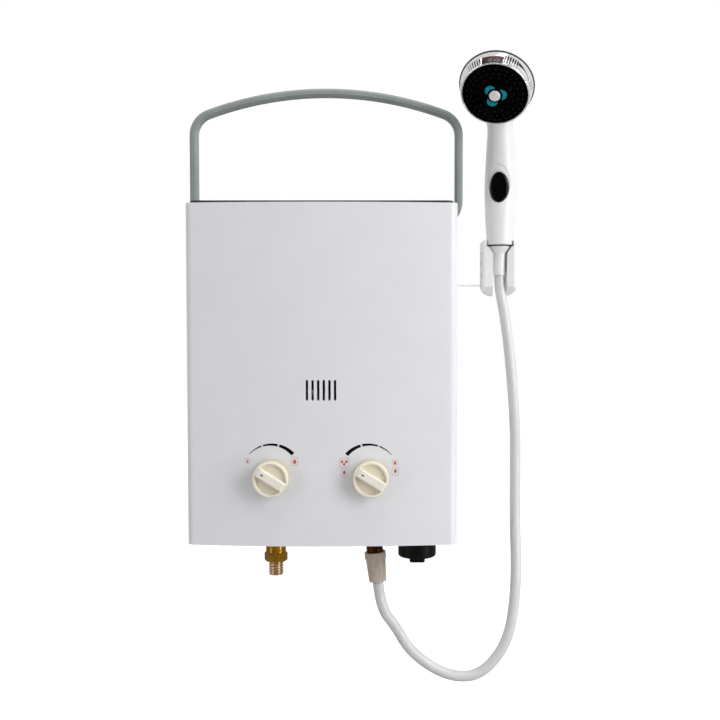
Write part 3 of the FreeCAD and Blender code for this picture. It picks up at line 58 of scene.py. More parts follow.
# ---------------------------------------------------------------- driving sizes, millimetres
BOW_RADIUS = 1092.0                   # curve of the front panel
CASE_DEPTH = 120.0
KNOB_X = 53.3                         # gas knob at -KNOB_X, water knob at +KNOB_X
KNOB_Z = -254.0
KNOB_TIP_Y = -136.4                   # front of a knob's grip bar
KNOB_REST_ANGLE = 148.0               # where the bar points, in degrees from +X

GAS_X = -56.0
FITTING_Y = -60.0
GAS_HEX_Z = -357.0                    # underside of the gas inlet's hexagon
NIPPLE_END_Z = -372.7

HANDSET_PLACE = (198.4, -30.0, 0.0)   # foot of the handset's axis
HANDSET_YAW = math.radians(-13.0)
HEAD_TILT = math.radians(41.5)
HEAD_CENTRE = (0.0, -44.0, 162.4)     # face centre on the handset's own axes

HOSE_DIAMETER = 12.0
# The same route as in the CAD source, in metres: out of the handset's cone, down beside
# the case, round the bottom of the loop and up into the nut.
HOSE_ROUTE = [
    (0.1984, -0.0300, -0.0345),
    (0.1984, -0.0300, -0.0485),
    (0.2033, -0.0314, -0.0739),
    (0.2082, -0.0330, -0.1080),
    (0.2125, -0.0347, -0.1504),
    (0.2164, -0.0370, -0.2055),
    (0.2164, -0.0395, -0.2620),
    (0.2160, -0.0420, -0.3175),
    (0.2177, -0.0445, -0.3675),
    (0.2158, -0.0465, -0.4071),
    (0.2103, -0.0480, -0.4430),
    (0.1966, -0.0500, -0.4712),
    (0.1729, -0.0520, -0.4927),
    (0.1432, -0.0540, -0.4926),
    (0.1156, -0.0560, -0.4784),
    (0.0929, -0.0580, -0.4578),
    (0.0797, -0.0595, -0.4336),
    (0.0621, -0.0600, -0.4111),
    (0.05922, -0.0600, -0.38125),
]
HOSE_SIDES = 28


# ---------------------------------------------------------------- shader nodes
def shade(red, green, blue):
    """Linear colour of a shade given as display values from 0 to 255."""
    linear = []
    for value in (red, green, blue):
        value = value / 255
        linear.append(value / 12.92 if value <= 0.04045 else ((value + 0.055) / 1.055) ** 2.4)
    return (*linear, 1.0)


class Nodes:
    """Short ways to add nodes to one tree and to link them."""

    def __init__(self, tree):
        self.tree = tree

    def node(self, kind, **inputs):
        made = self.tree.nodes.new(kind)
        for name, value in inputs.items():
            made.inputs[name.replace("_", " ")].default_value = value
        return made

    def link(self, output, target):
        self.tree.links.new(output, target)

    def maths(self, operation, *values):
        """Result of a maths node; each value is a float or another node's output."""
        node = self.node("ShaderNodeMath")
        node.operation = operation
        for socket, value in zip(node.inputs, values):
            if isinstance(value, float):
                socket.default_value = value
            else:
                self.link(value, socket)
        return node.outputs["Value"]

    def axis_of(self, vector, axis):
        split = self.node("ShaderNodeSeparateXYZ")
        self.link(vector, split.inputs["Vector"])
        return split.outputs[axis]

    def spread(self, value, low, high, start=0.3, end=0.7):
        """The value mapped from start..end to low..high."""
        node = self.node(
            "ShaderNodeMapRange", From_Min=start, From_Max=end, To_Min=low, To_Max=high)
        self.link(value, node.inputs["Value"])
        return node.outputs["Result"]

    def ramp(self, value, first, second, start, end):
        """Colour that runs from first at start to second at end."""
        node = self.node("ShaderNodeValToRGB")
        stops = node.color_ramp.elements
        stops[0].position, stops[0].color = start, first
        stops[1].position, stops[1].color = end, second
        self.link(value, node.inputs["Fac"])
        return node.outputs["Color"]


class Finish(Nodes):
    """One procedural material: a Principled shader with textures on its sockets."""

    def __init__(self, name, colour, roughness, metallic=0.0):
        self.material = bpy.data.materials.new(name)
        self.material.use_nodes = True
        super().__init__(self.material.node_tree)
        self.shader = self.tree.nodes["Principled BSDF"]
        self.set("Base Color", colour)
        self.set("Roughness", roughness)
        self.set("Metallic", metallic)

    def set(self, socket, value):
        self.shader.inputs[socket].default_value = value

    def place(self, stretch=(1.0, 1.0, 1.0)):
        """The object's own coordinates in metres, stretched along its axes."""
        coordinates = self.node("ShaderNodeTexCoord")
        mapping = self.node("ShaderNodeMapping", Scale=stretch)
        self.link(coordinates.outputs["Object"], mapping.inputs["Vector"])
        return mapping.outputs["Vector"]

    def noise(self, grain, detail=3.0, stretch=(1.0, 1.0, 1.0)):
        """Noise whose features are about grain millimetres."""
        texture = self.node("ShaderNodeTexNoise", Scale=1000.0 / grain, Detail=detail)
        self.link(self.place(stretch), texture.inputs["Vector"])
        return texture.outputs["Fac"]

    def cells(self, size):
        """Voronoi cells of about size millimetres."""
        texture = self.node("ShaderNodeTexVoronoi", Scale=1000.0 / size)
        self.link(self.place(), texture.inputs["Vector"])
        return texture

    def colours(self, value, first, second, start=0.35, end=0.65):
        """Base colour that runs from first to second with the value."""
        colour = self.ramp(value, shade(*first), shade(*second), start, end)
        self.link(colour, self.shader.inputs["Base Color"])

    def uneven(self, value, low, high):
        """Roughness between low and high."""
        self.link(self.spread(value, low, high), self.shader.inputs["Roughness"])

    def bump(self, value, depth):
        """Relief of about depth millimetres."""
        node = self.node("ShaderNodeBump", Distance=depth * MM)
        self.link(value, node.inputs["Height"])
        self.link(node.outputs["Normal"], self.shader.inputs["Normal"])

    def glow_through(self, weight, radius):
        """Light that spreads below the surface, by radius metres in red, green and blue."""
        self.set("Subsurface Weight", weight)
        self.set("Subsurface Radius", radius)
        self.set("Subsurface Scale", 1.0)


# ---------------------------------------------------------------- camera, light, stage
WHITE = (1.0, 1.0, 1.0, 1.0)
CAMERA_PLACE = (0.08355, -1.220, -0.0796)
CAMERA_PITCH = math.radians(87.5)     # 90 is level
CAMERA_LENS = 51.725                  # on a sensor 36 mm wide
CAMERA_SHIFT = -0.0547
WORLD_STRENGTH = 0.68
WORLD_DIM = (0.16, 0.16, 0.17, 1.0)   # behind the camera
WORLD_RAMP = (0.10, 0.62)             # where 0 is straight behind the camera and 1 ahead
FLOOR_Z = -0.62                       # well below the hanging hose
FLOOR_HALF = 6.0
FLOOR_COLOUR = (0.42, 0.42, 0.42, 1.0)
FLOOR_GLOW = 0.85                     # lifts the floor to white for the camera alone
MIDDLE = (0.05, -0.06, -0.15)
FITTINGS = (0.05, -0.06, -0.35)
LAMPS = (                             # name, place, target, width, height, watts
    ("key", (1.88, -1.36, 0.7), MIDDLE, 1.3, 1.7, 36.2),
    ("fill", (-1.7, -1.3, 0.2), MIDDLE, 1.0, 1.8, 8.5),
    ("top", (0.1, -0.5, 1.7), MIDDLE, 1.4, 1.0, 12.0),
    ("low_right", (1.2, -0.75, -0.55), FITTINGS, 0.25, 0.5, 4.0),
    ("low_left", (-1.1, -0.8, -0.5), FITTINGS, 0.12, 0.5, 1.0),
)


def make_camera():
    """About a third of the way down the case, right of its middle, looking slightly down."""
    data = bpy.data.cameras.new("camera")
    data.sensor_width = 36.0
    data.lens = CAMERA_LENS
    data.shift_x = CAMERA_SHIFT
    data.clip_end = 50.0
    camera = bpy.data.objects.new("camera", data)
    camera.location = CAMERA_PLACE
    camera.rotation_euler = (CAMERA_PITCH, 0.0, 0.0)
    bpy.context.scene.collection.objects.link(camera)
    bpy.context.scene.camera = camera


def make_lamp(name, place, target, width, height, watts):
    data = bpy.data.lights.new(name, "AREA")
    data.shape = "RECTANGLE"
    data.size = width
    data.size_y = height
    data.energy = watts
    lamp = bpy.data.objects.new(name, data)
    lamp.location = place
    direction = Vector(target) - Vector(place)
    lamp.rotation_euler = direction.to_track_quat("-Z", "Y").to_euler()
    bpy.context.scene.collection.objects.link(lamp)


def make_world():
    """White where the camera looks; a studio with a dim side behind the camera for the rest."""
    world = bpy.data.worlds.new("studio")
    world.use_nodes = True
    world.node_tree.nodes.clear()
    nodes = Nodes(world.node_tree)
    seen = nodes.node("ShaderNodeBackground", Color=WHITE, Strength=1.0)
    soft = nodes.node("ShaderNodeBackground", Strength=WORLD_STRENGTH)
    forward = nodes.axis_of(nodes.node("ShaderNodeTexCoord").outputs["Generated"], "Y")
    colour = nodes.ramp(nodes.spread(forward, 0.0, 1.0, -1.0, 1.0), WORLD_DIM, WHITE, *WORLD_RAMP)
    nodes.link(colour, soft.inputs["Color"])
    path = nodes.node("ShaderNodeLightPath").outputs
    choose = nodes.node("ShaderNodeMixShader")
    nodes.link(nodes.maths("MAXIMUM", path["Is Camera Ray"], path["Is Transmission Ray"]),
               choose.inputs["Fac"])
    nodes.link(soft.outputs["Background"], choose.inputs[1])
    nodes.link(seen.outputs["Background"], choose.inputs[2])
    output = nodes.node("ShaderNodeOutputWorld")
    nodes.link(choose.outputs["Shader"], output.inputs["Surface"])
    bpy.context.scene.world = world


def make_floor():
    """Pale floor, white to the camera but for the shadow."""
    mesh = bpy.data.meshes.new("floor")
    corners = ((-1, -1), (1, -1), (1, 1), (-1, 1))
    mesh.from_pydata(
        [(x * FLOOR_HALF, y * FLOOR_HALF, FLOOR_Z) for x, y in corners], [], [(0, 1, 2, 3)])
    floor = bpy.data.objects.new("floor", mesh)
    bpy.context.scene.collection.objects.link(floor)
    finish = Finish("floor_white", FLOOR_COLOUR, 0.9)
    glow = finish.node("ShaderNodeEmission")
    path = finish.node("ShaderNodeLightPath").outputs
    finish.link(finish.maths("MULTIPLY", path["Is Camera Ray"], FLOOR_GLOW),
                glow.inputs["Strength"])
    both = finish.node("ShaderNodeAddShader")
    finish.link(finish.shader.outputs["BSDF"], both.inputs[0])
    finish.link(glow.outputs["Emission"], both.inputs[1])
    finish.link(both.outputs["Shader"], finish.tree.nodes["Material Output"].inputs["Surface"])
    mesh.materials.append(finish.material)


def make_studio():
    scene = bpy.context.scene
    scene.view_settings.view_transform = "Standard"
    make_world()
    make_floor()
    for lamp in LAMPS:
        make_lamp(*lamp)


# ---------------------------------------------------------------- materials
def noise_finish(name, colour, roughness, metallic, rough, mottle=None, relief=None, specular=None,
                 coat=None, subsurface=None):
    """A finish whose textures are all noise; grains and depths are in millimetres.

    rough is (grain, low, high), mottle (grain, detail, first colour, second colour), relief
    (grain, detail, depth), coat (weight, roughness) and subsurface (weight, radius).
    """
    finish = Finish(name, shade(*colour), roughness, metallic)
    finish.uneven(finish.noise(rough[0]), *rough[1:])
    if mottle:
        finish.colours(finish.noise(*mottle[:2]), *mottle[2:])
    if relief:
        finish.bump(finish.noise(*relief[:2]), relief[2])
    if specular is not None:
        finish.set("Specular IOR Level", specular)
    if coat:
        finish.set("Coat Weight", coat[0])
        finish.set("Coat Roughness", coat[1])
    if subsurface:
        finish.glow_through(*subsurface)
    return finish


def zinc_steel():
    finish = Finish("zinc_steel", shade(172, 175, 178), 0.38, 0.9)
    spangle = finish.cells(7.0)
    finish.colours(spangle.outputs["Color"], (150, 153, 157), (196, 199, 202), 0.2, 0.8)
    finish.uneven(spangle.outputs["Color"], 0.28, 0.5)
    finish.bump(finish.noise(1.6), 0.01)
    return finish


KNOB_SHADE_DEPTHS = (-0.120, -0.134)        # Y that the painted shade spans: yellower and darker towards the panel


def knob_ivory():
    """Painted shade: yellower and darker near the panel than at the front of the grip bar."""
    finish = noise_finish(
        "knob_ivory", (246, 241, 230), 0.36, 0.0, (2.5, 0.30, 0.42), relief=(0.5, 2.0, 0.012),
        subsurface=(0.15, (0.004, 0.003, 0.002)))
    forward = finish.spread(finish.axis_of(finish.place(), "Y"), 0.0, 1.0, *KNOB_SHADE_DEPTHS)
    # painted shade: the ivory darkens and yellows towards the panel
    finish.colours(forward, (222, 207, 160), (244, 239, 227), 0.3, 0.95)
    return finish


def brass(name, first, second, rough):
    """Copper alloy with stains, and fine turning marks round Z."""
    finish = Finish(name, shade(*second), rough[0], 1.0)
    finish.colours(finish.noise(3.5, 4.0), first, second, 0.3, 0.7)
    finish.uneven(finish.noise(1.6), *rough)
    finish.bump(finish.noise(0.5, 3.0, (0.2, 0.2, 3.0)), 0.008)
    return finish


def filter_mesh():
    finish = Finish("filter_mesh", shade(150, 150, 150), 0.4, 1.0)
    finish.bump(finish.cells(0.8).outputs["Distance"], 0.2)
    return finish


BRAID_YARNS = 12                      # each way round the hose
BRAID_WAVES = 400.0                   # in a metre of hose


def hose_pvc():
    """Clear PVC over a woven white yarn: the braid is in the base, the coat is smooth."""
    finish = Finish("hose_pvc", shade(222, 223, 222), 0.45)
    flat = finish.node("ShaderNodeTexCoord").outputs["UV"]
    around, along = finish.axis_of(flat, "X"), finish.axis_of(flat, "Y")
    waves = []
    for direction in (1.0, -1.0):
        lean = finish.maths("MULTIPLY", around, direction * BRAID_YARNS * 2 * math.pi)
        phase = finish.maths("MULTIPLY_ADD", along, 2 * math.pi * BRAID_WAVES, lean)
        waves.append(finish.maths("SINE", phase))
    weave = finish.spread(finish.maths("MULTIPLY", *waves), 0.0, 1.0, -0.6, 0.6)
    finish.colours(weave, (206, 208, 206), (233, 234, 233), 0.1, 0.9)
    finish.uneven(finish.noise(2.0), 0.4, 0.55)
    finish.bump(weave, 0.12)
    finish.set("Coat Weight", 0.8)
    finish.set("Coat Roughness", 0.14)
    finish.glow_through(0.2, (0.004, 0.004, 0.004))
    return finish


# name: colour, roughness, metallic, then noise_finish()'s rough, mottle, relief and the rest
NOISE_FINISHES = {
    "cover_paint": ((234, 234, 238), 0.36, 0.0, (9.0, 0.34, 0.39),
                    (35.0, 2.0, (233, 233, 237), (235, 235, 239)), (0.9, 4.0, 0.005),
                    None, (0.2, 0.15)),
    "screw_steel": ((170, 172, 172), 0.3, 1.0, (1.2, 0.22, 0.42), None, (0.4, 3.0, 0.01)),
    "flue_dark": ((40, 40, 41), 0.6, 0.0, (4.0, 0.5, 0.7),
                  (14.0, 3.0, (34, 34, 35), (52, 51, 50)), (0.6, 3.0, 0.03)),
    "handle_plastic": ((146, 154, 149), 0.42, 0.0, (3.0, 0.36, 0.50),
                       (30.0, 3.0, (143, 151, 146), (149, 157, 152)), (0.35, 2.0, 0.01),
                       None, (0.25, 0.25)),
    "bush_plastic": ((46, 46, 46), 0.5, 0.0, (1.5, 0.42, 0.6), None, (0.4, 3.0, 0.01)),
    "valve_aluminium": ((168, 169, 171), 0.45, 0.9, (1.5, 0.38, 0.58), None, (0.8, 3.0, 0.05)),
    "burner_steel": ((128, 124, 122), 0.4, 1.0, (2.0, 0.32, 0.52),
                     (18.0, 3.0, (96, 84, 92), (150, 142, 128))),
    "ceramic": ((232, 228, 218), 0.15, 0.0, (2.0, 0.1, 0.22)),
    "lead_insulation": ((196, 92, 40), 0.5, 0.0, (1.0, 0.42, 0.6)),
    "black_plastic": ((9, 8, 6), 0.36, 0.0, (2.0, 0.3, 0.44),
                      (8.0, 3.0, (7, 6, 4), (12, 11, 8)), (0.4, 2.0, 0.02), 0.12),
    "black_rubber": ((26, 26, 27), 0.7, 0.0, (1.0, 0.6, 0.8), None, (0.3, 3.0, 0.02)),
    "valve_nylon": ((52, 54, 56), 0.5, 0.0, (1.2, 0.42, 0.6), None, (0.4, 3.0, 0.03)),
    "cell_jacket": ((66, 72, 82), 0.3, 0.4, (4.0, 0.24, 0.38)),
    "nut_plastic": ((196, 183, 167), 0.42, 0.0, (1.8, 0.36, 0.5),
                    (7.0, 3.0, (196, 180, 162), (206, 192, 176)), (0.35, 2.0, 0.02),
                    None, None, (0.1, (0.003, 0.002, 0.0015))),
    "white_plastic": ((240, 238, 238), 0.3, 0.0, (6.0, 0.28, 0.33),
                      (20.0, 3.0, (239, 237, 237), (241, 239, 239)), (2.0, 2.0, 0.002),
                      None, None, (0.15, (0.004, 0.004, 0.0035))),
    "chrome": ((238, 239, 241), 0.08, 0.72, (2.0, 0.05, 0.12), None, (1.5, 3.0, 0.003)),
    "face_black": ((1, 1, 1), 0.1, 0.0, (3.0, 0.07, 0.13), None, (0.8, 3.0, 0.002), 0.025),
    "button_black": ((3, 3, 3), 0.1, 0.0, (3.0, 0.07, 0.14), None, (1.5, 3.0, 0.003), 0.2),
    "nozzle_rubber": ((7, 7, 8), 0.35, 0.0, (0.6, 0.3, 0.42), None, None, 0.3),
    "teal_plastic": ((0, 142, 154), 0.4, 0.0, (1.0, 0.24, 0.36), None, None, 0.2),
    "print_black": ((4, 4, 5), 0.45, 0.0, (2.0, 0.4, 0.5), None, None, 0.15),
    "print_red": ((204, 92, 66), 0.45, 0.0, (2.0, 0.4, 0.5)),
    "print_grey": ((186, 156, 156), 0.45, 0.0, (2.0, 0.4, 0.5)),
    "window_dark": ((25, 28, 28), 0.25, 0.0, (1.0, 0.2, 0.32), None, None, 0.2),
    "window_grey": ((104, 106, 106), 0.3, 0.0, (1.0, 0.24, 0.36)),
    "window_red": ((92, 8, 10), 0.25, 0.0, (1.0, 0.16, 0.26), None, None, 0.2),
    "knob_mark": ((44, 62, 30), 0.45, 0.0, (1.0, 0.4, 0.5)),
}
BRASSES = {                           # name: first colour, second colour, roughness
    "brass": ((148, 106, 22), (182, 136, 42), (0.1, 0.2)),
    "brass_pale": ((208, 172, 134), (232, 202, 162), (0.2, 0.34)),
    "brass_dark": ((30, 13, 5), (88, 48, 16), (0.25, 0.5)),
    "copper": ((168, 92, 62), (206, 128, 92), (0.2, 0.45)),
}
FINISHES = {name: noise_finish(name, *facts).material for name, facts in NOISE_FINISHES.items()}
FINISHES.update({name: brass(name, *facts).material for name, facts in BRASSES.items()})
FINISHES.update({make.__name__: make().material
                 for make in (zinc_steel, knob_ivory, filter_mesh, hose_pvc)})


def dress_cad_nodes():
    """Every CAD node gets the material of its slot in the record."""
    for part in frame["record"]["subparts"]:
        mesh = NODES[part["node"]].data
        mesh.materials.clear()
        mesh.materials.append(FINISHES[part["material_slot"]])


# ---------------------------------------------------------------- mesh helpers
def new_piece(name, points, faces, material, smooth=True):
    """Mesh object from points in millimetres."""
    mesh = bpy.data.meshes.new(name)
    mesh.from_pydata([(x * MM, y * MM, z * MM) for x, y, z in points], [], faces)
    mesh.update()
    for polygon in mesh.polygons:
        polygon.use_smooth = smooth
    mesh.materials.append(material)
    piece = bpy.data.objects.new(name, mesh)
    bpy.context.scene.collection.objects.link(piece)
    return piece


# ---------------------------------------------------------------- places
def turn_z(points, angle):
    """Points turned about Z."""
    x, y, z = np.asarray(points, float).T
    cos, sin = math.cos(angle), math.sin(angle)
    return np.stack([x * cos - y * sin, x * sin + y * cos, z], axis=1)


def in_hand(points):
    """From the handset's own axes, Z up its handle, to the part's frame."""
    return turn_z(points, HANDSET_YAW) + np.array(HANDSET_PLACE)


def on_head(points):
    """From the head's axes, its face at z = 0 and +Z backwards, to the part's frame."""
    x, y, z = np.asarray(points, float).T
    cos, sin = math.sin(HEAD_TILT), -math.cos(HEAD_TILT)
    tipped = np.stack([x, y * cos - z * sin, y * sin + z * cos], axis=1)
    return in_hand(tipped + np.array(HEAD_CENTRE))


def on_panel(x, z, lift=0.0):
    """A point on the bowed front panel, or lift in front of it."""
    return (x, BOW_RADIUS - CASE_DEPTH - math.sqrt(BOW_RADIUS ** 2 - x * x) - lift, z)


# ---------------------------------------------------------------- form helpers
def circle(radius, z, sides):
    angles = [2 * math.pi * side / sides for side in range(sides)]
    return [(radius * math.cos(angle), radius * math.sin(angle), z) for angle in angles]


def ring_quads(rings, sides, closed=False):
    """Quads between neighbouring rings of points, and from the last to the first if closed."""
    faces = []
    for ring in range(rings if closed else rings - 1):
        base, ahead = ring * sides, (ring + 1) % rings * sides
        for side in range(sides):
            following = (side + 1) % sides
            faces.append((base + side, base + following, ahead + following, ahead + side))
    return faces


def revolved(name, profile, material, place, sides, closed=False):
    """Surface of revolution about Z from (radius, z) points; a radius of 0 is a pole."""
    points = []
    rings = []
    for radius, z in profile:
        ring = circle(radius, z, sides) if radius else [(0.0, 0.0, z)]
        rings.append([*range(len(points), len(points) + len(ring))])
        points += ring
    faces = []
    pairs = list(zip(rings, rings[1:]))
    if closed:
        pairs.append((rings[-1], rings[0]))
    for near, far in pairs:
        for side in range(sides):
            following = (side + 1) % sides
            if len(near) == 1:
                faces.append((near[0], far[side], far[following]))
            elif len(far) == 1:
                faces.append((near[side], far[0], near[following]))
            else:
                faces.append((near[side], far[side], far[following], near[following]))
    return new_piece(name, place(points), faces, material)


def slab(name, outline, faces, top, bottom, point_at, material):
    """Thin plate that follows a surface: point_at(u, v, lift) places each outline point."""
    count = len(outline)
    points = [point_at(u, v, top) for u, v in outline]
    points += [point_at(u, v, bottom) for u, v in outline]
    solid = list(faces)
    solid += [tuple(index + count for index in reversed(face)) for face in faces]
    solid += [(second, first, first + count, second + count) for first, second in boundary(faces)]
    return new_piece(name, points, solid, material, smooth=False)


def boundary(faces):
    """Edges that only one face uses, in that face's direction."""
    edges = set()
    for face in faces:
        for first, second in zip(face, face[1:] + face[:1]):
            if (second, first) in edges:
                edges.remove((second, first))
            else:
                edges.add((first, second))
    return sorted(edges)


def strip_plate(lefts, rights):
    """Outline points and quads of a plate between two rows of points."""
    outline = [*lefts, *rights]
    count = len(lefts)
    faces = [(step, step + 1, count + step + 1, count + step) for step in range(count - 1)]
    return outline, faces


def disc_plate(centre_u, centre_v, half_u, half_v, sides, power):
    """Outline points and triangles of an oval plate, squarer with a higher power."""
    outline = [(centre_u, centre_v)]
    for side in range(sides):
        angle = 2 * math.pi * side / sides
        cos, sin = math.cos(angle), math.sin(angle)
        u = math.copysign(abs(cos) ** (2 / power), cos) * half_u
        v = math.copysign(abs(sin) ** (2 / power), sin) * half_v
        outline.append((centre_u + u, centre_v + v))
    faces = [(0, side + 1, (side + 1) % sides + 1) for side in range(sides)]
    return outline, faces


def frame_plate(centre_u, centre_v, half_u, half_v, width, power):
    """A thin rounded frame round a pictogram."""
    rows = []
    for inset in (0.0, width):
        outline, _ = disc_plate(centre_u, centre_v, half_u - inset, half_v - inset, 32, power)
        rows.append(outline[1:] + outline[1:2])
    return strip_plate(*rows)


def smooth_min(first, second, reach):
    share = np.clip(0.5 + 0.5 * (second - first) / reach, 0.0, 1.0)
    return second * (1 - share) + first * share - reach * share * (1 - share)


def smooth_max(first, second, reach):
    return -smooth_min(-first, -second, reach)


def surface_net(distance, low, high, step):
    """Quads over the zero surface of distance(points), drawn onto it."""
    axes = [np.arange(low[axis], high[axis] + step, step) for axis in range(3)]
    grid = np.stack(np.meshgrid(*axes, indexing="ij"), axis=-1)
    values = distance(grid)
    cells = tuple(size - 1 for size in values.shape)
    total = np.zeros((*cells, 3))
    count = np.zeros(cells)
    quads = []
    for axis in range(3):
        ahead = np.moveaxis(values, axis, 0)
        near, far = ahead[:-1], ahead[1:]
        index = np.argwhere((near < 0) != (far < 0))
        share = near[tuple(index.T)]
        share = share / (share - far[tuple(index.T)])
        outward = near[tuple(index.T)] < 0
        order = [axis] + [other for other in range(3) if other != axis]
        node = np.empty_like(index)
        node[:, order] = index
        place = node.astype(float)
        place[:, axis] += share
        second, third = order[1], order[2]
        if axis == 1:
            second, third = third, second
        corners = []
        for back_second, back_third in ((0, 0), (1, 0), (1, 1), (0, 1)):
            cell = node.copy()
            cell[:, second] -= back_second
            cell[:, third] -= back_third
            corners.append(cell)
            np.add.at(total, tuple(cell.T), place)
            np.add.at(count, tuple(cell.T), 1)
        names = np.stack([np.ravel_multi_index(cell.T, cells) for cell in corners], axis=1)
        names[~outward] = names[~outward][:, ::-1]
        quads.append(names)
    quads = np.concatenate(quads)
    used, faces = np.unique(quads.ravel(), return_inverse=True)
    spots = total.reshape(-1, 3)[used] / count.reshape(-1)[used][:, None]
    points = spots * step + np.array(low)
    nudge = 0.02
    for _ in range(3):
        here = distance(points)
        slope = np.stack([
            (distance(points + offset) - here) / nudge for offset in np.eye(3) * nudge], axis=1)
        length = np.maximum((slope ** 2).sum(axis=1), 0.05)
        move = slope * (here / length)[:, None]
        reach = np.sqrt((move ** 2).sum(axis=1))[:, None]
        points -= move * np.minimum(1.0, 0.6 * step / np.maximum(reach, 1e-9))
    return points, faces.reshape(-1, 4).tolist()


# ---------------------------------------------------------------- handset
# height, half width, half depth, centre: the grip's oval sections
GRIP_SECTIONS = np.array([
    (-12.0, 13.6, 13.8, -0.4),
    (0.0, 14.5, 14.5, 0.0),
    (22.0, 16.35, 15.4, 1.2),
    (62.0, 18.55, 17.0, 6.9),
    (105.0, 16.75, 16.0, 6.4),
    (137.0, 14.65, 14.6, 1.0),
    (156.0, 16.0, 14.6, -5.5),
    (176.0, 20.0, 13.0, -17.0),
    (190.0, 22.0, 12.0, -25.0),
])
GRIP_SLOPES = np.gradient(GRIP_SECTIONS[:, 1:], GRIP_SECTIONS[:, 0], axis=0)
GRIP_TOP_Z = 178.0                    # the grip's own form ends here, inside the dome
GRIP_FRONT_Y = -10.1
NECK_BLEND = 13.0                     # reach of the soft union of grip and dome
DOME_RADIUS = 40.8
DOME_START = 19.4                     # depth behind the face
DOME_HEIGHT = 19.5
DOME_RIM = 1.4                        # straight part of the dome, next to the ring
RING_ROOM = 37.4                      # radius left free for the ring, near its front
RING_FLARE = 4.4                      # and what that gains over DOME_START
BUTTON_Z = 65.0
BUTTON_HALF = (10.3, 17.0)
BUTTON_PROUD = 1.7
BUTTON_DISH = 0.9
BUTTON_BACK = 4.0                     # depth of its hidden end behind the grip's front
POCKET_HALF = (10.7, 17.4)
POCKET_DEPTH = 5.4
FACET_HALF = (11.9, 21.5)
FACET_RISE = 4.5                      # of the facet's middle above the button's
FACET_SINK = 0.7
NET_BOX = ((-45.0, -61.0, -2.0), (45.0, 28.0, 211.0))
NET_STEP = 0.95
# (radius, z) of the lip at the foot of the handset
LIP_PROFILE = [
    (13.4, 0.2), (14.5, 0.2), (14.85, 0.5), (14.95, 1.3), (14.85, 2.1), (14.5, 2.4), (13.4, 2.4)]


def grip_section(z):
    """Half width, half depth and centre of the grip at heights z, on smooth curves."""
    heights = GRIP_SECTIONS[:, 0]
    span = np.clip(np.searchsorted(heights, z) - 1, 0, len(heights) - 2)
    low, high = heights[span], heights[span + 1]
    share = np.clip((z - low) / (high - low), 0.0, 1.0)[..., None]
    width = (high - low)[..., None]
    first, second = GRIP_SECTIONS[span, 1:], GRIP_SECTIONS[span + 1, 1:]
    leave, arrive = GRIP_SLOPES[span] * width, GRIP_SLOPES[span + 1] * width
    square, cube = share ** 2, share ** 3
    return (first * (2 * cube - 3 * square + 1) + leave * (cube - 2 * square + share)
            + second * (3 * square - 2 * cube) + arrive * (cube - square))


def oval_distance(first, second, half_first, half_second):
    """About how far outside an ellipse a point is."""
    first = first + 1e-5
    ratio = np.sqrt((first / half_first) ** 2 + (second / half_second) ** 2)
    slope = np.sqrt((first / half_first ** 2) ** 2 + (second / half_second ** 2) ** 2)
    return ratio * (ratio - 1) / np.maximum(slope, 1e-6)


def handset_distance(points):
    """Signed distance to the handset's white body, on the handset's own axes."""
    x, y, z = points[..., 0], points[..., 1], points[..., 2]
    section = grip_section(z)
    grip = oval_distance(x, y - section[..., 2], section[..., 0], section[..., 1])
    grip = smooth_max(grip, z - GRIP_TOP_Z, 6.0)
    back_y, back_z = math.cos(HEAD_TILT), math.sin(HEAD_TILT)
    head_y, head_z = y - HEAD_CENTRE[1], z - HEAD_CENTRE[2]
    depth = head_y * back_y + head_z * back_z
    radius = np.sqrt(x ** 2 + (head_y * back_z - head_z * back_y) ** 2)
    beyond = np.maximum(depth - DOME_START - DOME_RIM, 0.0)
    dome = oval_distance(radius, beyond, DOME_RADIUS, DOME_HEIGHT - DOME_RIM)
    dome = smooth_max(dome, DOME_START - depth, 0.6)
    body = smooth_min(grip, dome, NECK_BLEND)
    facet = oval_distance(x, z - BUTTON_Z - FACET_RISE, *FACET_HALF)
    inset = np.minimum(body + FACET_SINK, -facet * 0.8)
    front = y < GRIP_FRONT_Y + 12
    body = np.where(front, smooth_max(body, inset, 0.3), body)
    well = oval_distance(x, z - BUTTON_Z, *POCKET_HALF)
    body = smooth_max(body, -np.maximum(well, y - GRIP_FRONT_Y - POCKET_DEPTH), 0.5)
    body = smooth_max(body, -z + 0.05, 2.0)
    ring = RING_ROOM + (depth + 0.8) * RING_FLARE / DOME_START
    room = np.maximum(depth - DOME_START, radius - ring - 0.7)
    return np.maximum(body, -room)


def make_handset_body():
    points, faces = surface_net(handset_distance, *NET_BOX, NET_STEP)
    body = new_piece("handset_shell", in_hand(points), faces, FINISHES["white_plastic"])
    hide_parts("handset_body")
    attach(body, "handset")
    lip = revolved("handset_lip", LIP_PROFILE, FINISHES["white_plastic"], in_hand, 72, closed=True)
    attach(lip, "handset")


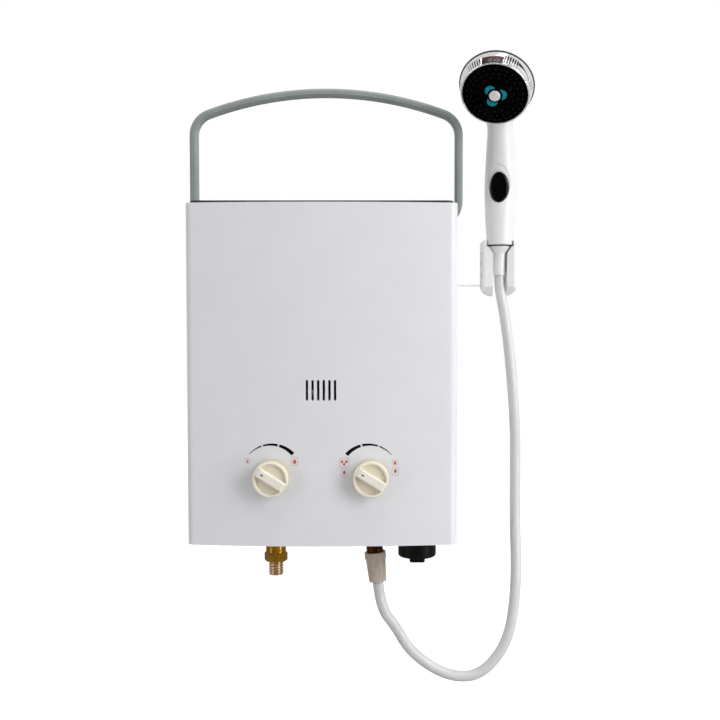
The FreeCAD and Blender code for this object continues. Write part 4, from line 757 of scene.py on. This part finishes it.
def make_button():
    """Dished oval push button, rounded all round its edge."""
    half_x, half_z = BUTTON_HALF
    # share of the button's half sizes, and how far back from its top; over 2 is its hidden end
    rows = [(1.0, 4.9), (1.0, 1.1), (0.985, 0.55), (0.95, 0.22), (0.90, 0.05), (0.80, 0.0),
            (0.6, 0.0), (0.4, 0.0), (0.2, 0.0)]
    sides = 72
    back = GRIP_FRONT_Y + BUTTON_BACK
    points = []
    for share, back_by in rows:
        for side in range(sides):
            angle = 2 * math.pi * side / sides
            x = half_x * share * math.cos(angle)
            z = half_z * share * math.sin(angle)
            dish = BUTTON_DISH * max(0.0, 1 - (share / 0.85) ** 2)
            top = GRIP_FRONT_Y - BUTTON_PROUD + 0.016 * x * x + dish
            points.append((x, top + back_by if back_by < 2 else back, BUTTON_Z + z))
    points.append((0.0, GRIP_FRONT_Y - BUTTON_PROUD + BUTTON_DISH, BUTTON_Z))
    points.append((0.0, back, BUTTON_Z))
    faces = ring_quads(len(rows), sides)
    last = (len(rows) - 1) * sides
    for side in range(sides):
        following = (side + 1) % sides
        faces.append((last + side, last + following, len(rows) * sides))
        faces.append((following, side, len(rows) * sides + 1))
    button = new_piece("button_top", in_hand(points), faces, FINISHES["button_black"])
    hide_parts("pause_button")
    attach(button, "pause_button")


# (radius, depth behind the face) round the ring's section
RING_PROFILE = [
    (36.0, 18.5), (36.0, 0.3), (36.15, -0.45), (36.6, -0.78), (37.2, -0.66), (37.6, -0.3),
    (37.72, -0.12), (37.82, 0.1), (38.15, 0.9), (38.55, 2.4), (38.8, 3.5), (38.85, 3.9),
    (39.5, 7.0), (40.1, 10.5), (40.14, 10.7), (40.18, 10.95), (40.65, 14.1), (40.7, 14.5),
    (41.0, 16.6), (41.15, 17.9), (41.05, 18.4), (40.4, 18.55)]
WINDOW_HALF = 17.8                    # degrees either side of the top of the ring
WINDOW_DEPTHS = (0.1, 10.5)
WINDOW_SUNK = 0.6
WINDOW_EDGE = 0.4                     # degrees that its side walls take
WINDOW_BAND = 3.2                     # depth of its red band
PANE_TOP = -0.25                      # from the ring's own surface
SIGN_TOP = -0.17
RING_STEPS = 144
RING_FRONT = 37.0                     # the profile inside this radius faces the black face


def ring_radius(depth):
    """Radius of the ring's outer surface at a depth behind the face."""
    outer = [(z, radius) for radius, z in RING_PROFILE[4:-2]]
    return float(np.interp(depth, [z for z, _ in outer], [radius for _, radius in outer]))


def on_ring(degrees, depth, lift=0.0):
    """A point on the ring's outer surface, at an angle from its top, clockwise."""
    angle = math.radians(degrees)
    radius = ring_radius(depth) + lift
    return tuple(on_head([(radius * math.sin(angle), -radius * math.cos(angle), depth)])[0])


def make_head_ring():
    """Chromed ring, turned from its profile, with a sunken window at the top."""
    angles = sorted(set(np.linspace(-180.0, 180.0, RING_STEPS + 1)[:-1]) | {
        -WINDOW_HALF - WINDOW_EDGE, -WINDOW_HALF, WINDOW_HALF, WINDOW_HALF + WINDOW_EDGE})
    points = []
    for degrees in angles:
        angle = math.radians(degrees)
        for radius, z in RING_PROFILE:
            sunk = abs(degrees) <= WINDOW_HALF and WINDOW_DEPTHS[0] <= z <= WINDOW_DEPTHS[1]
            if sunk and radius > RING_FRONT:
                radius -= WINDOW_SUNK
            points.append((radius * math.sin(angle), -radius * math.cos(angle), z))
    faces = ring_quads(len(angles), len(RING_PROFILE), closed=True)
    ring = new_piece("chrome_ring", on_head(points), faces, FINISHES["chrome"])
    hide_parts("head_ring")
    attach(ring, "handset")


def ring_mark(name, outline, faces, top, material):
    """A mark on the ring's surface, or sunk in its window where top is below it."""
    mark = slab(name, outline, faces, top, top - 0.4, on_ring, material)
    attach(mark, "handset")


def ring_stroke(name, front, back, width, lift, material):
    """A straight mark from one (degrees, depth) to another, width degrees wide."""
    middle = [tuple(np.array(front) * (1 - share) + np.array(back) * share)
              for share in np.linspace(0, 1, 7)]
    plate = strip_plate([(angle + width / 2, depth) for angle, depth in middle],
                        [(angle - width / 2, depth) for angle, depth in middle])
    ring_mark(name, *plate, lift, material)


def make_window():
    """Pane and band in the ring's window, with two outlines in place of any lettering."""
    low, high = WINDOW_DEPTHS[0] + 0.1, WINDOW_DEPTHS[1] - 0.05
    split = high - WINDOW_BAND
    across = np.linspace(0.1 - WINDOW_HALF, WINDOW_HALF - 0.1, 13)
    for name, near, far, finish in (("window_pane", low, split, "window_dark"),
                                    ("window_band", split, high, "window_red")):
        plate = strip_plate([(angle, near) for angle in across], [(angle, far) for angle in across])
        ring_mark(name, *plate, PANE_TOP, FINISHES[finish])
    grey = FINISHES["window_grey"]
    ring_mark("window_sign_ring", *frame_plate(-3.6, 4.4, 3.4, 2.3, 1.1, 2.0), SIGN_TOP, grey)
    ring_mark("window_sign_oval", *frame_plate(7.4, 4.0, 5.0, 2.0, 0.9, 3.0), SIGN_TOP, grey)


def make_ring_marks():
    """Setting ticks, comb and pointer wedge; numbers are degrees from the top and depths."""
    grey, ink = FINISHES["window_grey"], FINISHES["print_black"]
    for tick in range(6):
        front = (-41.5 + 4.4 * tick, 0.7)
        back = (-44.6 + 4.5 * tick, 12.6 - 0.5 * tick)
        width = 1.4 + 0.15 * tick
        ring_stroke(f"tick_{tick}", front, back, width, 0.08, grey if tick < 2 else ink)
    for tooth in range(6):
        angle = 20.2 + 4.2 * tooth
        ring_stroke(f"comb_{tooth}", (angle, 7.4 - 0.3 * tooth), (angle, 13.2), 2.3, 0.1, ink)
        foot, width, finish = (0.8, 1.5, ink) if tooth < 3 else (1.4, 0.8, grey)
        ring_stroke(
            f"comb_stem_{tooth}", (angle - 0.9, foot), (angle - 0.3, 7.4), width, 0.08, finish)
        # white strips beside the comb's dark strokes, on the chrome
        ring_stroke(f"comb_white_strip_{tooth}", (angle - 2.7, 0.3), (angle - 2.3, 6.6), 1.9, 0.12,
                    FINISHES["white_plastic"])
    # degrees, depth, half width
    spine = ((43.0, 10.4, 1.4), (44.6, 9.9, 2.3), (48.5, 9.6, 1.8), (53.5, 9.2, 1.1),
             (61.0, 8.2, 0.6), (68.0, 6.4, 0.5), (72.5, 3.8, 0.4))
    plate = strip_plate([(angle, depth - half) for angle, depth, half in spine],
                        [(angle, depth + half) for angle, depth, half in spine])
    ring_mark("pointer_wedge", *plate, 0.1, ink)
    for rib in range(3):
        front, back = (77.0 + 4.7 * rib, 2.6), (79.8 + 4.5 * rib, 10.6 - 0.7 * rib)
        ring_stroke(f"ring_rib_{rib}", front, back, 1.5, 0.1, grey)
    ring_stroke("ring_dot", (-74.0, 2.6), (-74.0, 5.4), 2.5, 0.08, grey)


# ---------------------------------------------------------------- spray face
# (radius, depth behind the face) of the two turned forms
DISC_PROFILE = [
    (0.0, 13.9), (34.6, 13.9), (35.6, 12.9), (35.6, 0.0), (35.45, -0.8), (35.0, -1.35),
    (34.4, -1.58), (33.6, -1.55), (33.2, -1.2), (32.7, -1.2), (32.3, -1.5), (30.0, -1.6),
    (22.5, -1.6), (19.3, -1.6), (19.0, -1.75), (18.2, -2.9), (17.6, -3.15), (17.0, -3.2),
    (9.4, -3.2), (9.0, -3.05), (0.0, -3.05)]
CAP_PROFILE = [
    (0.0, -3.0), (6.0, -3.0), (6.2, -3.2), (6.2, -4.3), (6.05, -4.7), (5.7, -4.95), (5.0, -5.1),
    (3.3, -5.18), (0.0, -5.2)]


def make_spray_face():
    """Polished face with a raised rim, a groove round the nozzles and a raised hub."""
    face = revolved("spray_disc", DISC_PROFILE, FINISHES["face_black"], on_head, 128)
    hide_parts("spray_face")
    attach(face, "spray_dial")
    cap = revolved("cap_button", CAP_PROFILE, FINISHES["white_plastic"], on_head, 64)
    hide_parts("centre_cap")
    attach(cap, "spray_dial")


# ---------------------------------------------------------------- gas thread
THREAD_CREST = 8.33
THREAD_DEPTH = 0.9
THREAD_PITCH = 3.0
THREAD_BORE = 4.5
THREAD_SIDES = 64
THREAD_ROWS = 10                      # in each turn


def make_gas_thread():
    """Threaded tube with a real helix outside and a bore inside, for the CAD's plain one."""
    z_low, z_high = NIPPLE_END_Z, GAS_HEX_Z
    rows = int((z_high - z_low) / THREAD_PITCH * THREAD_ROWS) + 1
    points = []
    for row in range(rows + 1):
        z = z_low + (z_high - z_low) * row / rows
        for side in range(THREAD_SIDES):
            turn = side / THREAD_SIDES
            phase = (z - z_low) / THREAD_PITCH - turn
            wave = abs(2 * (phase - math.floor(phase)) - 1)
            flank = min(1.0, max(0.0, (wave - 0.22) / 0.56))
            ends = min(1.0, (z - z_low) / 1.0, (z_high - z) / 0.6)
            radius = THREAD_CREST - THREAD_DEPTH * (flank + (1 - max(0.0, ends)) * (1 - flank))
            angle = 2 * math.pi * turn
            points.append((radius * math.cos(angle), radius * math.sin(angle), z))
    for z in (z_high, z_low):
        points += circle(THREAD_BORE, z, THREAD_SIDES)
    faces = ring_quads(rows + 3, THREAD_SIDES, closed=True)
    nipple = new_piece("gas_thread", np.array(points) + np.array((GAS_X, FITTING_Y, 0.0)), faces,
                       FINISHES["brass_pale"])
    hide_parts("gas_inlet_nipple")
    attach(nipple, "case")


# ---------------------------------------------------------------- dials
ARC_RADIUS = 31.6
ARC_CENTRE_Z = KNOB_Z + 4.2
ARC_STEPS = 14
FRAME_WIDTH = 0.35
PRINT_FACES = (0.06, -0.3)            # front and back of a print, from the panel
POINTER_REACH = 9.8                   # middle of a pointer dash, from its knob's axis
POINTER_HALF = (1.7, 0.65)
POINTER_FACES = (0.07, -0.3)
# name, centre x, first and last angle of each length, width at the two ends
SCALES = (
    ("gas", -KNOB_X - 0.3, ((138.0, 109.5), (106.3, 77.2), (74.2, 42.5)), (0.5, 4.1)),
    ("water", KNOB_X - 2.3, ((139.0, 106.3), (103.1, 72.0), (69.0, 40.5)), (4.1, 0.5)),
)
# sides, half width, taper, power of the taper, lean: of a teardrop 1 high
FLAME = (26, 0.33, 0.62, 0.9, 0.10)
DROP = (20, 0.34, 0.7, 1.0, 0.0)
# side of the case; a frame's name, place right of the knob and above it, half width, half
# height and power; and the name, place, height and form of each sign in it
PICTOGRAMS = (
    (-1, ("gas_low_ring", -25.9, 18.1, 2.9, 2.9, 2.0),
     [("gas_low_flame", -25.9, 17.8, 3.2, FLAME)]),
    (-1, ("gas_high_frame", 24.8, 17.9, 3.8, 4.7, 5.0),
     [("gas_high_flame", 24.8, 17.7, 5.4, FLAME)]),
    (1, ("water_high_frame", -28.8, 16.3, 5.2, 5.2, 5.0),
     [("water_high_drop_0", -31.2, 17.7, 3.8, DROP), ("water_high_drop_1", -28.8, 14.9, 3.8, DROP),
      ("water_high_drop_2", -26.4, 17.7, 3.8, DROP)]),
    (1, ("water_warm_frame", -28.8, 5.9, 3.3, 4.3, 5.0),
     [("water_warm_flame", -28.8, 6.1, 4.4, FLAME)]),
    (1, ("water_low_frame", 25.6, 16.0, 3.3, 2.9, 5.0),
     [("water_low_drop", 25.6, 16.0, 4.2, DROP)]),
    (1, ("water_hot_frame", 25.9, 6.7, 3.8, 4.2, 5.0),
     [("water_hot_flame", 25.9, 7.2, 4.6, FLAME)]),
)


def panel_print(name, outline, faces, material):
    mark = slab(name, outline, faces, *PRINT_FACES, on_panel, material)
    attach(mark, "case")


def dial_arc(name, centre_x, first, last, widths):
    """Tapered arc round a knob, from one angle to another, in degrees from +X."""
    outer, inner = [], []
    for step in range(ARC_STEPS + 1):
        share = step / ARC_STEPS
        angle = math.radians(first + (last - first) * share)
        width = widths[0] + (widths[1] - widths[0]) * share
        for row, reach in ((outer, ARC_RADIUS + width / 2), (inner, ARC_RADIUS - width / 2)):
            row.append((centre_x + reach * math.cos(angle), ARC_CENTRE_Z + reach * math.sin(angle)))
    panel_print(name, *strip_plate(outer, inner), FINISHES["print_black"])


def teardrop(name, u, v, height, form):
    """Generic sign: round below, narrowing and leaning towards its top."""
    sides, half, taper, power, lean = form
    outline = [(u, v)]
    for side in range(sides):
        turn = 2 * math.pi * side / sides
        rise = math.cos(turn)
        above = max(0.0, rise)
        width = math.sin(turn) * half * (1 - taper * above) ** power
        shift = lean * above ** 2 * math.sin(math.pi * rise)
        outline.append((u + height * (width + shift), v + height * 0.5 * rise))
    faces = [(0, (side + 1) % sides + 1, side + 1) for side in range(sides)]
    panel_print(name, outline, faces, FINISHES["print_red"])


def make_dials():
    """Tapered scales and generic flame and drop signs, in place of any wording."""
    for name, centre_x, spans, (thin, thick) in SCALES:
        start, total = spans[0][0], spans[0][0] - spans[-1][1]
        for index, (first, last) in enumerate(spans):
            widths = [thin + (thick - thin) * (start - angle) / total for angle in (first, last)]
            dial_arc(f"{name}_arc_{index}", centre_x, first, last, widths)
    for side, frame_row, signs in PICTOGRAMS:
        name, right, above, half_u, half_v, power = frame_row
        plate = frame_plate(side * KNOB_X + right, KNOB_Z + above, half_u, half_v,
                            FRAME_WIDTH, power)
        panel_print(name, *plate, FINISHES["print_grey"])
        for name, right, above, height, form in signs:
            teardrop(name, side * KNOB_X + right, KNOB_Z + above, height, form)


def on_grip_bar(x, z, lift):
    return (x, KNOB_TIP_Y - lift, z)


def make_knob_marks():
    """A dark green pointer dash let into the end of each knob's grip bar."""
    along = math.radians(KNOB_REST_ANGLE)
    cos, sin = math.cos(along), math.sin(along)
    outline, faces = disc_plate(0.0, 0.0, *POINTER_HALF, 24, 4.0)
    faces = [tuple(reversed(face)) for face in faces]
    for name, side, body in (("gas_pointer", -1, "gas_control"),
                             ("water_pointer", 1, "water_control")):
        placed = [(side * KNOB_X + (POINTER_REACH + u) * cos - v * sin,
                   KNOB_Z + (POINTER_REACH + u) * sin + v * cos) for u, v in outline]
        mark = slab(name, placed, faces, *POINTER_FACES, on_grip_bar, FINISHES["knob_mark"])
        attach(mark, body)


# ---------------------------------------------------------------- hose
def hose_centreline():
    """Points along the smooth curve whose control points are the route."""
    data = bpy.data.curves.new("hose_line", "CURVE")
    data.dimensions = "3D"
    data.resolution_u = 14
    spline = data.splines.new("NURBS")
    spline.points.add(len(HOSE_ROUTE) - 1)
    for point, place in zip(spline.points, HOSE_ROUTE):
        point.co = (*place, 1.0)
    spline.order_u = 3
    spline.use_endpoint_u = True
    holder = bpy.data.objects.new("hose_line", data)
    bpy.context.scene.collection.objects.link(holder)
    mesh = bpy.data.meshes.new_from_object(holder)
    line = [vertex.co.copy() for vertex in mesh.vertices]
    bpy.data.objects.remove(holder)
    return line


def tube_mesh(name, line, radius, sides, material):
    """Round tube along a line in metres, with UVs: around, and along in metres."""
    tangents = []
    for index in range(len(line)):
        before = line[max(index - 1, 0)]
        after = line[min(index + 1, len(line) - 1)]
        tangents.append((after - before).normalized())
    across = tangents[0].orthogonal().normalized()
    points = []
    travelled = [0.0]
    for index, centre in enumerate(line):
        if index:
            across = (across - tangents[index] * across.dot(tangents[index])).normalized()
            travelled.append(travelled[-1] + (centre - line[index - 1]).length)
        upward = tangents[index].cross(across)
        for side in range(sides):
            angle = 2 * math.pi * side / sides
            offset = across * math.cos(angle) + upward * math.sin(angle)
            points.append((centre + offset * radius) / MM)
    faces = ring_quads(len(line), sides)
    uvs = []
    for near, far in zip(travelled, travelled[1:]):
        for side in range(sides):
            left, right = side / sides, (side + 1) / sides
            uvs += [(left, near), (right, near), (right, far), (left, far)]
    last = (len(line) - 1) * sides
    for cap in ([*range(sides)][::-1], [*range(last, last + sides)]):
        faces.append(tuple(cap))
        uvs += [(0.0, 0.0)] * sides
    piece = new_piece(name, points, faces, material)
    layer = piece.data.uv_layers.new(name="UVMap")
    layer.data.foreach_set("uv", np.array(uvs, np.float32).ravel())
    return piece


def make_hose():
    line = hose_centreline()
    hose = tube_mesh("hose", line, HOSE_DIAMETER / 2 * MM, HOSE_SIDES, FINISHES["hose_pvc"])
    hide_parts("shower_hose")
    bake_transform(hose)


# ---------------------------------------------------------------- build
make_camera()
make_hose()
make_studio()
dress_cad_nodes()
make_handset_body()
make_button()
make_head_ring()
make_window()
make_ring_marks()
make_spray_face()
make_gas_thread()
make_dials()
make_knob_marks()
